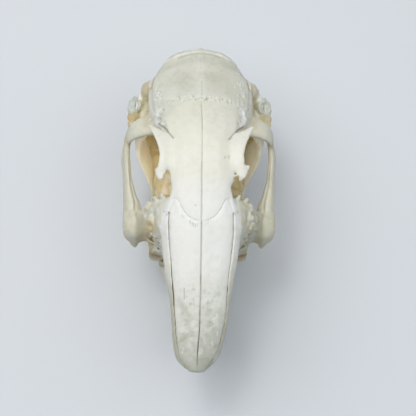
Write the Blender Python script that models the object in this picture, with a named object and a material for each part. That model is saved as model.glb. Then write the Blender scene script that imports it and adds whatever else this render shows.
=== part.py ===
"""Rabbit skull with its lower jaw, life size, standing on the lower edge of the jaw.

Metres, +Z up. The nose points to -Y. The origin is on the floor, under the middle
of the skull. Sizes below are millimetres: x is the distance from the middle plane,
station is the distance behind the nasal tips, height is measured from the floor.
"""
import math

import bmesh
import bpy
import numpy as np
from mathutils import Vector

MM = 0.001
SKULL_LENGTH = 89.8
MIDDLE_STATION = SKULL_LENGTH / 2
GAP = 0.3
HALF_GAP = GAP / 2
BITE_HEIGHT = 22.0

# Bones of the roof and snout, as (station, size) pairs
ROOF = ((0, 36.7), (3, 39.4), (8, 42.3), (15, 45.5), (25, 49.1), (36.5, 52.3), (46, 54.0), (54, 55.0),
        (62, 54.2), (71, 51.6), (80, 47.2), (86, 43.8), (88.6, 42.2), (89.8, 40.8))
NASAL_HALF = ((0, 2.3), (1, 3.6), (3, 4.95), (7, 5.9), (11, 6.6), (20.5, 7.2), (30, 8.25), (35, 8.7),
              (38.5, 8.5), (42.2, 7.1))
ROOF_EDGE = ((0, 2.2), (1, 3.4), (3, 4.8), (8, 6.0), (15, 6.8), (25, 7.8), (36, 8.8), (43, 8.4), (50, 7.7),
             (58, 7.4), (63, 9.4), (71, 11.2), (79, 10.8), (85, 8.8), (88, 6.4), (89.8, 3.4))
EDGE_DROP = ((0, 0.5), (3, 1.2), (15, 1.3), (36, 1.8), (54, 1.1), (63, 2.6), (71, 3.6), (80, 3.2), (86, 2.2),
             (89.8, 1.2))
WALL_HALF = ((0, 2.6), (1, 4.2), (3, 5.7), (7, 6.9), (11, 7.5), (16, 8.0), (20.5, 8.7), (25, 9.6),
             (30, 10.3), (38, 10.9), (42, 9.2), (46, 6.0), (54, 4.8), (58, 6.4), (62, 11.4), (66, 13.6),
             (71, 14.7), (77, 14.5), (81, 13.6), (85, 11.4), (87.5, 9.0), (89, 6.8), (89.8, 4.8))
WALL_DROP = ((0, 1.0), (3, 3.4), (15, 3.8), (36, 4.6), (46, 9.0), (58, 9.0), (66, 8.6), (77, 6.8), (86, 4.2),
             (89.8, 2.4))
LOW_HALF = ((0, 1.4), (3, 4.2), (8, 5.3), (16, 5.0), (24, 6.2), (32, 8.6), (40, 8.2), (46, 4.8), (54, 4.2),
            (59, 4.6), (64, 8.6), (71, 11.2), (80, 10.6), (85, 8.8), (88, 5.6), (89.8, 2.6))
UNDERSIDE = ((0, 35.2), (1.2, 32.6), (3, 28.4), (5, 25.6), (9, 25.8), (15, 27.6), (28, 27.8), (40, 28.6),
             (48, 29.4), (58, 30.0), (70, 29.4), (80, 28.0), (85, 28.6), (88, 34.0), (89.8, 37.4))
CORE_STATIONS = (0, 0.5, 1.3, 2.6, 4.4, 6.8, 10, 14, 18, 22, 26, 30, 33.5, 37, 40, 43, 46, 49, 52, 55, 57.5, 59.8,
                 62, 65, 68.5, 72, 75.5, 79, 82, 84.6, 86.6, 88.2, 89.2, SKULL_LENGTH)
CORE_POINTS = 13

# Sutures between the bones of the skull
FRONTONASAL = 36.5
NASAL_REAR = 42.2
NASAL_DEPTH = ((0, 1.4), (6, 1.9), (14, 2.8))
PREMAXILLA_REAR = 39.3
PREMAXILLA_BODY_REAR = 17.0
CORONAL = 71.0
NUCHAL = 84.8
MAXILLA_REAR = 49.35
FRONTAL_SIDE = 9.3
SQUAMOUS_INNER = 8.6
FAR = 30.0
BAND_SLOPE = 0.2

# Wings over the eyes
WING_OUTER = ((46.8, 8.6), (47.6, 10.8), (48.7, 12.1), (50.6, 11.9), (54.1, 11.4), (57.5, 12.1), (60.5, 13.2),
              (63.3, 14.4))
WING_HEIGHT = ((46.8, 52.2), (48.7, 52.7), (54.1, 54.3), (58, 53.4), (63.3, 50.7))
WING_ROOT = 6.2
WING_NOTCH = 59.1
WING_THICKNESS = 1.5

# Cheek: the block over the upper teeth and the root of the arch
ALVEOLUS_STATIONS = ((24.5, 4.4, 0.7), (27, 6.6, 1.5), (29.5, 8.9, 2.2), (32.4, 10.2, 3.0), (36, 10.7, 3.4),
                     (41, 10.8, 3.5), (46, 10.2, 3.2), (49.2, 9.4, 2.2))
ALVEOLUS_BOTTOM = ((24.5, 28.9), (27, 27.4), (30, 26.2), (34, 25.7), (46, 25.6), (49.2, 26.2))
ALVEOLUS_TOP = ((24.5, 30.3), (28, 31.2), (31, 33.4), (35, 37.0), (40, 38.2), (46, 35.8), (49.2, 34))
ROOT_SECTIONS = ((8.6, 30.5, 45.6, 29.0, 50.6), (11.2, 33.2, 45.0, 29.4, 48.8), (13.4, 35.4, 44.2, 29.8, 46.6),
                 (15.2, 35.6, 43.2, 30.2, 43.6), (17.0, 34.8, 43.2, 30.4, 40.6), (19.0, 35.2, 43.6, 30.6, 39.3),
                 (20.3, 36.2, 43.7, 30.9, 38.9), (20.9, 37.6, 43.7, 31.6, 38.0))
SPINE_TIP = (17.6, 35.2, 28.4)
SPINE_BASE = (18.0, 38.0, 32.4)

# Arch under the eye
ARCH_FRONT = 44.0
ARCH_REAR = 69.2
ARCH_X = ((44, 18.4), (48, 19.2), (54, 20.1), (60, 20.5), (65, 19.9), (69.2, 18.6))
ARCH_TOP = ((44, 38.9), (50, 39.0), (56, 38.2), (60, 37.6), (65, 37.4), (69.2, 36.6))
ARCH_BOTTOM = ((44, 30.8), (52, 30.4), (60, 31.0), (65, 32.8), (69.2, 35.2))
ARCH_THICKNESS = ((44, 5.0), (48, 3.5), (54, 2.3), (65, 2.0), (69.2, 1.6))
ARCH_LEAN = 0.9

# Process from the braincase out to the arch
PROCESS_SECTIONS = ((10.5, 66.0, 44.4, 3.6, 1.7), (13.5, 65.8, 44.0, 3.2, 1.4), (16.2, 65.3, 43.4, 2.9, 1.1),
                    (18.2, 64.6, 42.2, 2.6, 1.0), (19.4, 64.0, 40.4, 2.3, 0.9), (19.9, 63.6, 38.4, 2.2, 0.8))

# Ear capsules and the back of the skull
BULLA_CENTRE = (11.6, 75.2, 28.4)
BULLA_RADII = (5.1, 6.0, 6.2)
MEATUS_TUBE = ((13.4, 74.8, 30.6, 3.4), (16.4, 74.2, 34.4, 2.7), (18.4, 73.7, 37.8, 2.1))
MEATUS_BORE = 1.25
MEATUS_DEPTH = 3.6
MASTOID_CENTRE = (13.9, 78.2, 36.0)
MASTOID_RADII = (3.0, 3.4, 5.2)
PAROCCIPITAL = ((12.6, 81.0, 35.0, 2.2), (12.0, 82.2, 29.0, 1.7), (11.4, 82.0, 24.0, 1.1), (11.2, 81.6, 21.6, 0.5))
CONDYLE_CENTRE = (5.2, 84.9, 31.4)
CONDYLE_RADII = (2.5, 3.0, 3.9)
FORAMEN_CENTRE = (0, 86.0, 34.2)
FORAMEN_RADIUS = 4.2
FORAMEN_DEPTH = 7.0
OPTIC_HOLE = (57.2, 39.6)
OPTIC_RADIUS = 2.0
PTERYGOID_STATIONS = ((46.5, 4.6, 29.5), (50, 4.7, 26.4), (55, 4.7, 25.6), (60, 4.9, 26.6), (64, 5.2, 30.0))
PTERYGOID_THICKNESS = 1.3

# Openings of the nose and palate
NOSE_HOLE = ((-3.0, 3.9, 28.8, 33.6), (0, 4.1, 29.0, 35.2), (4.0, 4.5, 29.6, 37.6), (10.0, 4.0, 30.8, 40.2),
             (14.0, 2.4, 33.0, 39.4))
PALATE_SLIT = ((13.2, 1.6, 0.7), (17, 2.1, 1.4), (24, 2.7, 1.9), (30.6, 2.9, 1.2))
PALATE_SLIT_TOP = 31.5
CHOANA = ((41.4, 1.6, 31.0), (45, 2.9, 33.5), (52, 3.0, 34.0), (58, 2.7, 33.0), (61.5, 1.6, 31.0))

# Lower jaw
JAW_BOTTOM = ((9.3, 12.6), (12, 8.6), (20, 3.2), (27, 0.1), (32, -0.45), (38, -0.2), (45, 1.6), (52, 3.2),
              (58, 5.6))
JAW_TOP = ((9.3, 16.0), (12, 16.2), (18, 13.8), (24, 13.4), (29, 15.6), (32, 18.0), (48, 18.6), (52, 17.6),
           (58, 12.0))
JAW_X_LOW = ((9.3, 1.75), (12, 2.0), (20, 2.55), (25, 3.2), (30, 5.4), (36, 7.4), (42, 8.8), (52, 11.4), (58, 12.2))
JAW_X_HIGH = ((9.3, 1.75), (12, 2.0), (20, 2.55), (25, 3.4), (30, 6.4), (34, 8.2), (42, 9.3), (52, 11.6),
              (58, 12.2))
JAW_THICKNESS = ((9.3, 3.2), (12, 3.9), (20, 5.0), (25, 5.4), (30, 5.4), (34, 5.8), (42, 6.0), (48, 5.0),
                 (54, 2.6), (58, 1.2))
JAW_STATIONS = (9.3, 10.4, 12.5, 16, 20, 24, 27, 29.5, 32, 35, 39, 43, 47, 51, 55, 58)
RAMUS_SECTIONS = ((-0.4, 60.6, 66.2, 12.9, 1.5), (0.8, 58.4, 68.6, 12.8, 1.7), (3, 55, 70.6, 12.6, 1.7),
                  (6, 51.5, 71.8, 12.3, 1.6), (10, 49.2, 72.0, 12.1, 1.6), (14, 48.2, 70.4, 12.0, 1.7),
                  (18, 48.6, 68.0, 12.4, 1.8), (22, 50.2, 66.6, 13.4, 1.9), (26, 52.8, 66.0, 14.6, 1.9),
                  (30, 55.4, 66.2, 15.8, 1.9), (34, 58.2, 66.8, 16.8, 1.9), (37.5, 61.0, 67.4, 17.0, 2.2),
                  (40, 62.8, 67.8, 16.4, 2.4))
CONDYLOID_CENTRE = (16.2, 65.4, 39.9)
CONDYLOID_RADII = (1.9, 3.2, 1.6)

# Teeth: each cheek tooth is (station, length along the row, outer x, width across)
UPPER_CHEEK = ((31.5, 2.5, 12.6, 3.2), (34.3, 3.3, 13.7, 4.4), (37.5, 3.3, 13.9, 4.6), (40.7, 3.3, 13.8, 4.6),
               (43.8, 3.1, 13.4, 4.3), (46.2, 2.0, 12.4, 2.8))
LOWER_CHEEK = ((34.2, 3.7, 10.9, 3.9), (37.6, 3.3, 11.1, 4.0), (40.8, 3.3, 11.2, 4.0), (44.0, 3.3, 11.2, 3.9),
               (46.6, 2.2, 11.0, 2.9))
UPPER_ROOT = 29.0
LOWER_ROOT = 14.6
UPPER_INCISOR = ((6.5, 28.3), (5.8, 26.4), (5.5, 23.6), (6.2, 20.8), (7.2, 18.9))
UPPER_INCISOR_X = 1.58
UPPER_INCISOR_SIZE = (1.35, 1.15)
PEG_TOOTH = ((8.7, 28.0), (8.7, 25.4), (8.9, 22.4))
PEG_TOOTH_X = 1.3
PEG_TOOTH_SIZE = (0.75, 0.7)
LOWER_INCISOR = ((15.6, 10.4), (12.6, 12.2), (10.6, 14.4), (9.5, 17.2), (9.4, 20.6))
LOWER_INCISOR_X = 1.6
LOWER_INCISOR_SIZE = (1.25, 1.0)

FLAT_ANGLE = math.radians(4)
BONE = (0.80, 0.76, 0.66, 1.0)
BONE_WARM = (0.74, 0.66, 0.50, 1.0)
TOOTH = (0.78, 0.70, 0.52, 1.0)


def along(knots, at):
    """Smooth value at a station, through the (station, size) pairs of a named curve."""
    x = np.array([k[0] for k in knots], float)
    y = np.array([k[1] for k in knots], float)
    if at <= x[0]:
        return float(y[0])
    if at >= x[-1]:
        return float(y[-1])
    step = np.diff(x)
    slope = np.diff(y) / step
    tangent = np.zeros(len(x))
    tangent[0] = slope[0]
    tangent[-1] = slope[-1]
    for i in range(1, len(x) - 1):
        if slope[i - 1] * slope[i] > 0:
            a = 2 * step[i] + step[i - 1]
            b = step[i] + 2 * step[i - 1]
            tangent[i] = (a + b) / (a / slope[i - 1] + b / slope[i])
    i = int(np.searchsorted(x, at)) - 1
    t = (at - x[i]) / step[i]
    return float((2 * t ** 3 - 3 * t ** 2 + 1) * y[i] + (t ** 3 - 2 * t ** 2 + t) * step[i] * tangent[i]
                 + (3 * t ** 2 - 2 * t ** 3) * y[i + 1] + (t ** 3 - t ** 2) * step[i] * tangent[i + 1])


def place(x, station, height):
    """World position in metres of a point given in the skull's own millimetres."""
    return Vector((x, station - MIDDLE_STATION, height)) * MM


def spline(points, count):
    """The given number of points, evenly spread along a smooth line through a few points."""
    points = [Vector(p) for p in points]
    padded = [2 * points[0] - points[1]] + points + [2 * points[-1] - points[-2]]
    dense = []
    for a, b, c, d in zip(padded, padded[1:], padded[2:], padded[3:]):
        for i in range(12):
            t = i / 12
            dense.append(0.5 * (2 * b + (c - a) * t + (2 * a - 5 * b + 4 * c - d) * t ** 2
                                + (3 * b - a - 3 * c + d) * t ** 3))
    dense.append(points[-1])
    length = np.concatenate([[0], np.cumsum([(q - p).length for p, q in zip(dense, dense[1:])])])
    result = []
    for want in np.linspace(0, length[-1], count):
        i = min(int(np.searchsorted(length, want, side="right")) - 1, len(dense) - 2)
        t = (want - length[i]) / max(length[i + 1] - length[i], 1e-9)
        result.append(dense[i].lerp(dense[i + 1], min(max(t, 0), 1)))
    return result


def oval(centre, u, v, u_radius, v_radius, count=12, squareness=2.4):
    """Closed ring round a centre, in the plane of the two unit directions u and v."""
    ring = []
    for i in range(count):
        angle = math.tau * i / count
        c = math.cos(angle)
        s = math.sin(angle)
        across = math.copysign(abs(c) ** (2 / squareness), c)
        up = math.copysign(abs(s) ** (2 / squareness), s)
        ring.append(Vector(centre) + Vector(u) * (across * u_radius) + Vector(v) * (up * v_radius))
    return ring


def add_object(name, bm):
    """Link a closed mesh as an object, with its faces pointing out."""
    bmesh.ops.triangulate(bm, faces=bm.faces[:])
    bmesh.ops.recalc_face_normals(bm, faces=bm.faces[:])
    if bm.calc_volume(signed=True) < 0:
        bmesh.ops.reverse_faces(bm, faces=bm.faces[:])
    mesh = bpy.data.meshes.new(name)
    bm.to_mesh(mesh)
    bm.free()
    obj = bpy.data.objects.new(name, mesh)
    bpy.context.scene.collection.objects.link(obj)
    return obj


def loft(name, rings):
    """Closed skin over rings of skull points, each end closed by a fan."""
    bm = bmesh.new()
    loops = [[bm.verts.new(place(*p)) for p in ring] for ring in rings]
    for one, two in zip(loops, loops[1:]):
        for i in range(len(one)):
            j = (i + 1) % len(one)
            bm.faces.new((one[i], one[j], two[j], two[i]))
    for loop in (loops[0], loops[-1]):
        middle = sum((v.co for v in loop), Vector()) / len(loop)
        hub = bm.verts.new(middle)
        for i in range(len(loop)):
            bm.faces.new((loop[i], loop[(i + 1) % len(loop)], hub))
    return add_object(name, bm)


def ball(name, centre, radii, rows=8, columns=14):
    """Egg shape of three radii, built ring by ring along the station axis."""
    rings = []
    for row in range(1, rows):
        angle = math.pi * row / rows
        middle = (centre[0], centre[1] - radii[1] * math.cos(angle), centre[2])
        rings.append(oval(middle, (1, 0, 0), (0, 0, 1), radii[0] * math.sin(angle),
                          radii[2] * math.sin(angle), columns, 2))
    return loft(name, rings)


def rod(name, sections, count=10):
    """Round tapered rod through (x, station, height, radius) sections."""
    rings = []
    for i, section in enumerate(sections):
        before = Vector(sections[max(i - 1, 0)][:3])
        after = Vector(sections[min(i + 1, len(sections) - 1)][:3])
        direction = (after - before).normalized()
        u = direction.orthogonal().normalized()
        if i:
            u = (previous - direction * previous.dot(direction)).normalized()
        previous = u
        rings.append(oval(section[:3], u, direction.cross(u), section[3], section[3], count, 2))
    return loft(name, rings)


def mirrored(obj, name):
    """Copy of an object on the other side of the middle plane."""
    bm = bmesh.new()
    bm.from_mesh(obj.data)
    for v in bm.verts:
        v.co.x = -v.co.x
    bmesh.ops.reverse_faces(bm, faces=bm.faces[:])
    mesh = bpy.data.meshes.new(name)
    bm.to_mesh(mesh)
    bm.free()
    copy = bpy.data.objects.new(name, mesh)
    bpy.context.scene.collection.objects.link(copy)
    return copy


def both_sides(obj):
    """The object and its mirrored twin."""
    return [obj, mirrored(obj, obj.name + "_other")]


def swollen(obj, amount):
    """Copy of an object with its surface moved out by an amount."""
    bm = bmesh.new()
    bm.from_mesh(obj.data)
    bm.normal_update()
    for v, normal in [(v, v.normal.copy()) for v in bm.verts]:
        v.co += normal * (amount * MM)
    mesh = bpy.data.meshes.new(obj.name + "_swollen")
    bm.to_mesh(mesh)
    bm.free()
    copy = bpy.data.objects.new(obj.name + "_swollen", mesh)
    bpy.context.scene.collection.objects.link(copy)
    return copy


def copied(obj, name):
    """Copy of an object in place."""
    copy = bpy.data.objects.new(name, obj.data.copy())
    bpy.context.scene.collection.objects.link(copy)
    return copy


def keep_largest(mesh):
    """Leave only the closed surface that holds most volume."""
    bm = bmesh.new()
    bm.from_mesh(mesh)
    bmesh.ops.remove_doubles(bm, verts=bm.verts[:], dist=0.00001)
    bmesh.ops.dissolve_degenerate(bm, edges=bm.edges[:], dist=0.00001)
    bmesh.ops.triangulate(bm, faces=bm.faces[:])
    left = set(bm.faces)
    best = []
    best_volume = 0
    while left:
        stack = [left.pop()]
        group = []
        while stack:
            face = stack.pop()
            group.append(face)
            for edge in face.edges:
                for other in edge.link_faces:
                    if other in left:
                        left.remove(other)
                        stack.append(other)
        volume = 0
        for face in group:
            a, b, c = (v.co for v in face.verts)
            volume += a.dot(b.cross(c)) / 6
        if volume > best_volume:
            best_volume = volume
            best = group
    keep = set(best)
    bmesh.ops.delete(bm, geom=[f for f in bm.faces if f not in keep], context="FACES")
    bmesh.ops.delete(bm, geom=[v for v in bm.verts if not v.link_faces], context="VERTS")
    bm.to_mesh(mesh)
    bm.free()


def combine(target, others, operation):
    """Apply one Boolean of the other objects to the target, and remove them."""
    group = bpy.data.collections.new("operands")
    bpy.context.scene.collection.children.link(group)
    for other in others:
        bpy.context.scene.collection.objects.unlink(other)
        group.objects.link(other)
    step = target.modifiers.new("Combine", "BOOLEAN")
    step.operation = operation
    step.operand_type = "COLLECTION"
    step.collection = group
    step.solver = "EXACT"
    bpy.context.view_layer.update()
    evaluated = target.evaluated_get(bpy.context.evaluated_depsgraph_get())
    mesh = bpy.data.meshes.new_from_object(evaluated)
    target.modifiers.remove(step)
    target.data = mesh
    for other in list(group.objects):
        bpy.data.objects.remove(other)
    bpy.data.collections.remove(group)
    keep_largest(mesh)
    return target


def take(rest, region, name, whole=False):
    """Part of the rest inside region(0), with region(GAP) then taken off the rest on both sides."""
    piece = copied(rest, name)
    combine(piece, [region(0)], "INTERSECT")
    cutters = [region(GAP)] if whole else both_sides(region(GAP))
    for cutter in cutters:
        combine(rest, [cutter], "DIFFERENCE")
    return piece


def band(name, stations, inner, outer, low, high=FAR * 3):
    """Cutting block between inner and outer x, and low and high, at each station.

    Its lower face slopes a little, so that the blocks of the two sides cross and never share a plane.
    """
    rings = []
    for s in stations:
        rings.append([(inner(s), s, low(s) - BAND_SLOPE), (outer(s), s, low(s)), (outer(s), s, high),
                      (inner(s), s, high)])
    return loft(name, rings)


def core_ring(s):
    """Outline of the skull at one station, without arches, wings and ear capsules."""
    roof = along(ROOF, s)
    under = along(UNDERSIDE, s)
    depth = roof - under
    wall = roof - min(along(WALL_DROP, s), depth * 0.45)
    edge = roof - min(along(EDGE_DROP, s), depth * 0.2)
    half = spline([(0, s, roof), (along(ROOF_EDGE, s) * 0.55, s, roof - (roof - edge) * 0.3),
                   (along(ROOF_EDGE, s), s, edge), (along(WALL_HALF, s), s, wall),
                   ((along(WALL_HALF, s) + along(LOW_HALF, s)) / 2, s, (wall + under) / 2 + depth * 0.03),
                   (along(LOW_HALF, s), s, under + depth * 0.16), (along(LOW_HALF, s) * 0.72, s, under + depth * 0.03),
                   (0, s, under)], CORE_POINTS)
    other = [Vector((-p.x, p.y, p.z)) for p in half[1:-1]]
    return half + other[::-1]


def core():
    """Snout, eye walls and braincase as one solid."""
    return loft("core", [core_ring(s) for s in CORE_STATIONS])


def wing():
    """Right wing over the eye, from its front lobe to its rear tip."""
    rings = []
    for s in (46.8, 47.6, 48.7, 50.4, 52.4, 54.4, 56.6, 58.4, 60.0, 61.6, 62.8, 63.5):
        outer = along(WING_OUTER, s)
        behind = max(0, s - WING_NOTCH) / (63.6 - WING_NOTCH)
        inner = WING_ROOT + behind * (outer - WING_ROOT - 0.9)
        tip_height = along(WING_HEIGHT, s)
        root_height = along(ROOF, s) - along(EDGE_DROP, s) - 0.9
        inner_height = root_height + behind * (tip_height - root_height)
        thick = WING_THICKNESS * (1 - 0.25 * behind)
        centre = Vector(((inner + outer) / 2, s, (inner_height + tip_height) / 2 - 0.4))
        u = Vector((outer - inner, 0, tip_height - inner_height)).normalized()
        rings.append(oval(centre, u, (-u.z, 0, u.x), (outer - inner) / 2, thick / 2, 12, 2.6))
    return loft("wing", rings)


def alveolus():
    """Right block of bone that holds the upper cheek teeth."""
    rings = []
    for s, x, half in ALVEOLUS_STATIONS:
        top = along(ALVEOLUS_TOP, s)
        bottom = along(ALVEOLUS_BOTTOM, s)
        rings.append(oval((x, s, (top + bottom) / 2), (1, 0, 0), (0, 0, 1), half, (top - bottom) / 2, 14, 3))
    return loft("alveolus", rings)


def zygomatic_root():
    """Right pillar of the cheek, from the side of the face out to the arch."""
    rings = []
    for x, front, back, low, high in ROOT_SECTIONS:
        rings.append(oval((x, (front + back) / 2, (low + high) / 2), (0, 1, 0), (0, 0, 1), (back - front) / 2,
                          (high - low) / 2, 14, 3))
    return loft("root", rings)


def spine():
    """Pointed spur at the lower front corner of the arch."""
    base = Vector(SPINE_BASE)
    tip = Vector(SPINE_TIP)
    return rod("spine", [(*base, 2.0), (*base.lerp(tip, 0.55), 1.5), (*base.lerp(tip, 0.85), 0.9), (*tip, 0.4)], 8)


def arch():
    """Right bar under the eye: an upright plate with a free rear spur."""
    rings = []
    for s in (44, 47, 50, 53, 56, 59, 62, 64.6, 66.7, 68.3, ARCH_REAR):
        high = Vector((along(ARCH_X, s) - ARCH_LEAN / 2, s, along(ARCH_TOP, s)))
        low = Vector((along(ARCH_X, s) + ARCH_LEAN / 2, s, along(ARCH_BOTTOM, s)))
        v = (high - low).normalized()
        rings.append(oval((high + low) / 2, (v.z, 0, -v.x), v, along(ARCH_THICKNESS, s) / 2,
                          (high - low).length / 2, 12, 2.6))
    return loft("zygomatic_arch_right", rings)


def temporal_process():
    """Right bar from the side of the braincase out and forward onto the arch."""
    rings = []
    for i, (x, s, h, long_half, thick_half) in enumerate(PROCESS_SECTIONS):
        before = PROCESS_SECTIONS[max(i - 1, 0)]
        after = PROCESS_SECTIONS[min(i + 1, len(PROCESS_SECTIONS) - 1)]
        direction = (Vector(after[:3]) - Vector(before[:3])).normalized()
        side = (Vector((0, 1, 0)) - direction * direction.y).normalized()
        rings.append(oval((x, s, h), side, side.cross(direction), long_half, thick_half, 12, 2.6))
    return loft("process", rings)


def pterygoid():
    """Right thin plate that hangs behind the palate."""
    rings = []
    top = 32.5
    for s, x, bottom in PTERYGOID_STATIONS:
        rings.append(oval((x, s, (top + bottom) / 2), (1, 0, 0), (0, 0, 1), PTERYGOID_THICKNESS / 2,
                          (top - bottom) / 2, 10, 3))
    return loft("pterygoid", rings)


def cheek_tooth(name, tooth, tip, root):
    """One ridged cheek tooth: two columns with a groove between, from root to biting end."""
    s, length, outer, width = tooth
    rings = []
    for h, grow in ((root, 1.0), (tip + (root - tip) * 0.12, 1.0), (tip, 0.9)):
        ring = []
        for i in range(10):
            angle = math.tau * i / 10
            pinch = 1 - 0.14 * (i % 5 == 0)
            ring.append((outer - width / 2 + width / 2 * grow * pinch * math.cos(angle),
                         s + length / 2 * grow * math.copysign(abs(math.sin(angle)) ** 0.7, math.sin(angle)), h))
        rings.append(ring)
    return loft(name, rings)


def bent_tooth(name, path, x, size):
    """Front tooth along a curved (station, height) path, cut to a chisel at its end."""
    line = spline([(x, s, h) for s, h in path], 8)
    rings = []
    for i, p in enumerate(line):
        direction = (line[min(i + 1, 7)] - line[max(i - 1, 0)]).normalized()
        v = direction.cross(Vector((1, 0, 0))).normalized()
        thin = 1.0 if i < 6 else 0.75 if i == 6 else 0.35
        rings.append(oval(p, (1, 0, 0), v, size[0], size[1] * thin, 12, 3))
    return loft(name, rings)


def bulla():
    """Right ear capsule with its tube up to the ear opening."""
    body = ball("tympanic_bulla_right", BULLA_CENTRE, BULLA_RADII, 9, 16)
    combine(body, [rod("tube", MEATUS_TUBE, 14)], "UNION")
    end = Vector(MEATUS_TUBE[-1][:3])
    direction = (end - Vector(MEATUS_TUBE[-2][:3])).normalized()
    bore = [(*(end - direction * MEATUS_DEPTH), MEATUS_BORE * 0.8), (*(end + direction * 2), MEATUS_BORE)]
    return combine(body, [rod("bore", bore, 12)], "DIFFERENCE")


def nose_hole():
    """Nose opening, a blind hollow from the front."""
    rings = []
    for s, half, low, high in NOSE_HOLE:
        rings.append(oval((0, s, (low + high) / 2), (1, 0, 0), (0, 0, 1), half, (high - low) / 2, 12, 2.2))
    return loft("nose", rings)


def palate_slit():
    """Right long opening in the front of the palate."""
    rings = []
    for s, x, half in PALATE_SLIT:
        rings.append(oval((x, s, PALATE_SLIT_TOP - 5), (1, 0, 0), (0, 0, 1), half, 5, 10, 3))
    return loft("slit", rings)


def choana():
    """Channel behind the palate, open downwards."""
    return loft("choana", [oval((0, s, top - 6), (1, 0, 0), (0, 0, 1), half, 6, 10, 3) for s, half, top in CHOANA])


def foramen_magnum():
    """Blind hole of the spinal cord, from the back."""
    x, s, h = FORAMEN_CENTRE
    sections = [(x, s - FORAMEN_DEPTH, h + 1.5, FORAMEN_RADIUS * 0.7), (x, s, h, FORAMEN_RADIUS),
                (x, s + FORAMEN_DEPTH, h - 1.5, FORAMEN_RADIUS)]
    return rod("foramen", sections, 16)


def optic_hole():
    """Round hole between the two eye sockets."""
    s, h = OPTIC_HOLE
    return rod("optic", [(-FAR, s, h, OPTIC_RADIUS), (FAR, s, h, OPTIC_RADIUS)], 12)


def nasal_region(grow):
    """Block over the right nasal bone."""
    start = FRONTONASAL + grow * 0.8
    length = NASAL_REAR - FRONTONASAL
    stations = [-4, 0, 3, 8, 14, 20, 26, 32, start]
    stations += [start + length * part for part in (0.04, 0.15, 0.35, 0.65)]
    stations.append(NASAL_REAR + grow)

    def inner(s):
        back = max(0, s - start) / length
        return HALF_GAP - grow + (along(NASAL_HALF, NASAL_REAR) - 0.6) * back ** 0.4

    return band("nasal_region", stations, inner, lambda s: along(NASAL_HALF, s) - HALF_GAP + grow,
                lambda s: along(ROOF, s) - along(NASAL_DEPTH, s) - grow)


def premaxilla_region(grow):
    """Block over the front of the snout and the strip beside the right nasal bone."""
    stations = [-4, 5, 12, PREMAXILLA_BODY_REAR, 19, 21, 23, 25, 28, 32, 36, PREMAXILLA_REAR + grow]

    def low(s):
        if s <= PREMAXILLA_BODY_REAR:
            return 10.0 - grow
        rise = min(1, (s - PREMAXILLA_BODY_REAR - grow) / 8)
        return 26 + (along(ROOF, s) - 4.2 - 26) * rise ** 0.8 - grow if rise > 0 else 10.0 - grow

    def inner(s):
        if s <= 23:
            return HALF_GAP - grow
        return along(NASAL_HALF, s) - 1.3 - grow

    def outer(s):
        return FAR if s < 36 else along(NASAL_HALF, s) + 1.9 + grow - max(0, s - 36) * 0.15

    return band("premaxilla_region", stations, inner, outer, low)


def frontal_region(grow):
    """Block over the right frontal bone."""
    stations = [FRONTONASAL - 1.5 - grow, 40, 44, 45.6 - grow, 46 - grow, 50, 55, 60, 66, CORONAL - HALF_GAP + grow]

    def outer(s):
        return FRONTAL_SIDE + grow if s < 45.8 - grow else FAR

    def low(s):
        return along(((36, 46.5), (45, 46.0), (50, 44.5), (58, 44.5), (64, 47.2), (71, 46.0)), s) - grow

    return band("frontal_region", stations, lambda s: HALF_GAP - grow, outer, low)


def parietal_region(grow):
    """Block over the right parietal bone."""
    stations = [CORONAL + HALF_GAP + 0.02 - grow, 74, 78, 81, NUCHAL + grow]
    return band("parietal_region", stations, lambda s: HALF_GAP - grow, lambda s: FAR,
                lambda s: along(((71, 45.2), (78, 42.5), (85, 38.5)), s) - grow)


def occipital_region(grow):
    """Block over the back and the rear base of the skull."""
    front = ((20, 72.0), (28, 72.4), (32, 78.0), (36, 81.5), (40, 84.0), (60, NUCHAL))
    rings = []
    for h in (15, 24, 28, 30, 32, 34, 36, 38, 40, 44, 60):
        s = along(front, h) - grow
        rings.append([(-FAR, s, h), (FAR, s, h), (FAR, 100, h), (-FAR, 100, h)])
    return loft("occipital_region", rings)


def maxilla_region(grow):
    """Block over the rest of the right side of the face."""
    return band("maxilla_region", [-6, MAXILLA_REAR + grow], lambda s: HALF_GAP - grow, lambda s: FAR, lambda s: 5)


def temporal_region(grow):
    """Block over the right side of the braincase."""
    return band("temporal_region", [57 - grow, 86 + grow], lambda s: SQUAMOUS_INNER - grow, lambda s: FAR,
                lambda s: 31.6 - grow)


def lower_jaw():
    """Right half of the lower jaw with its cheek teeth."""
    rings = []
    for s in JAW_STATIONS:
        low = Vector((along(JAW_X_LOW, s), s, along(JAW_BOTTOM, s)))
        high = Vector((along(JAW_X_HIGH, s), s, along(JAW_TOP, s)))
        v = (high - low).normalized()
        rings.append(oval((high + low) / 2, (v.z, 0, -v.x), v, along(JAW_THICKNESS, s) / 2,
                          (high - low).length / 2, 14, 2.6))
    jaw = loft("mandible_right", rings)
    plate = []
    for h, front, back, x, thick in RAMUS_SECTIONS:
        plate.append(oval((x, (front + back) / 2, h), (1, 0, 0), (0, 1, 0), thick / 2, (back - front) / 2, 16, 2.8))
    parts = [loft("ramus", plate), ball("condyloid", CONDYLOID_CENTRE, CONDYLOID_RADII, 7, 12)]
    for i, tooth in enumerate(LOWER_CHEEK):
        parts.append(cheek_tooth(f"lower_tooth_{i}", tooth, BITE_HEIGHT - HALF_GAP, LOWER_ROOT))
    combine(jaw, parts, "UNION")
    floor = band("floor_cut", [-10, 110], lambda s: -FAR, lambda s: FAR, lambda s: -10, 0)
    combine(jaw, [floor], "DIFFERENCE")
    middle = band("middle_cut", [-10, 110], lambda s: -FAR, lambda s: HALF_GAP, lambda s: -20)
    return combine(jaw, [middle], "DIFFERENCE")


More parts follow.
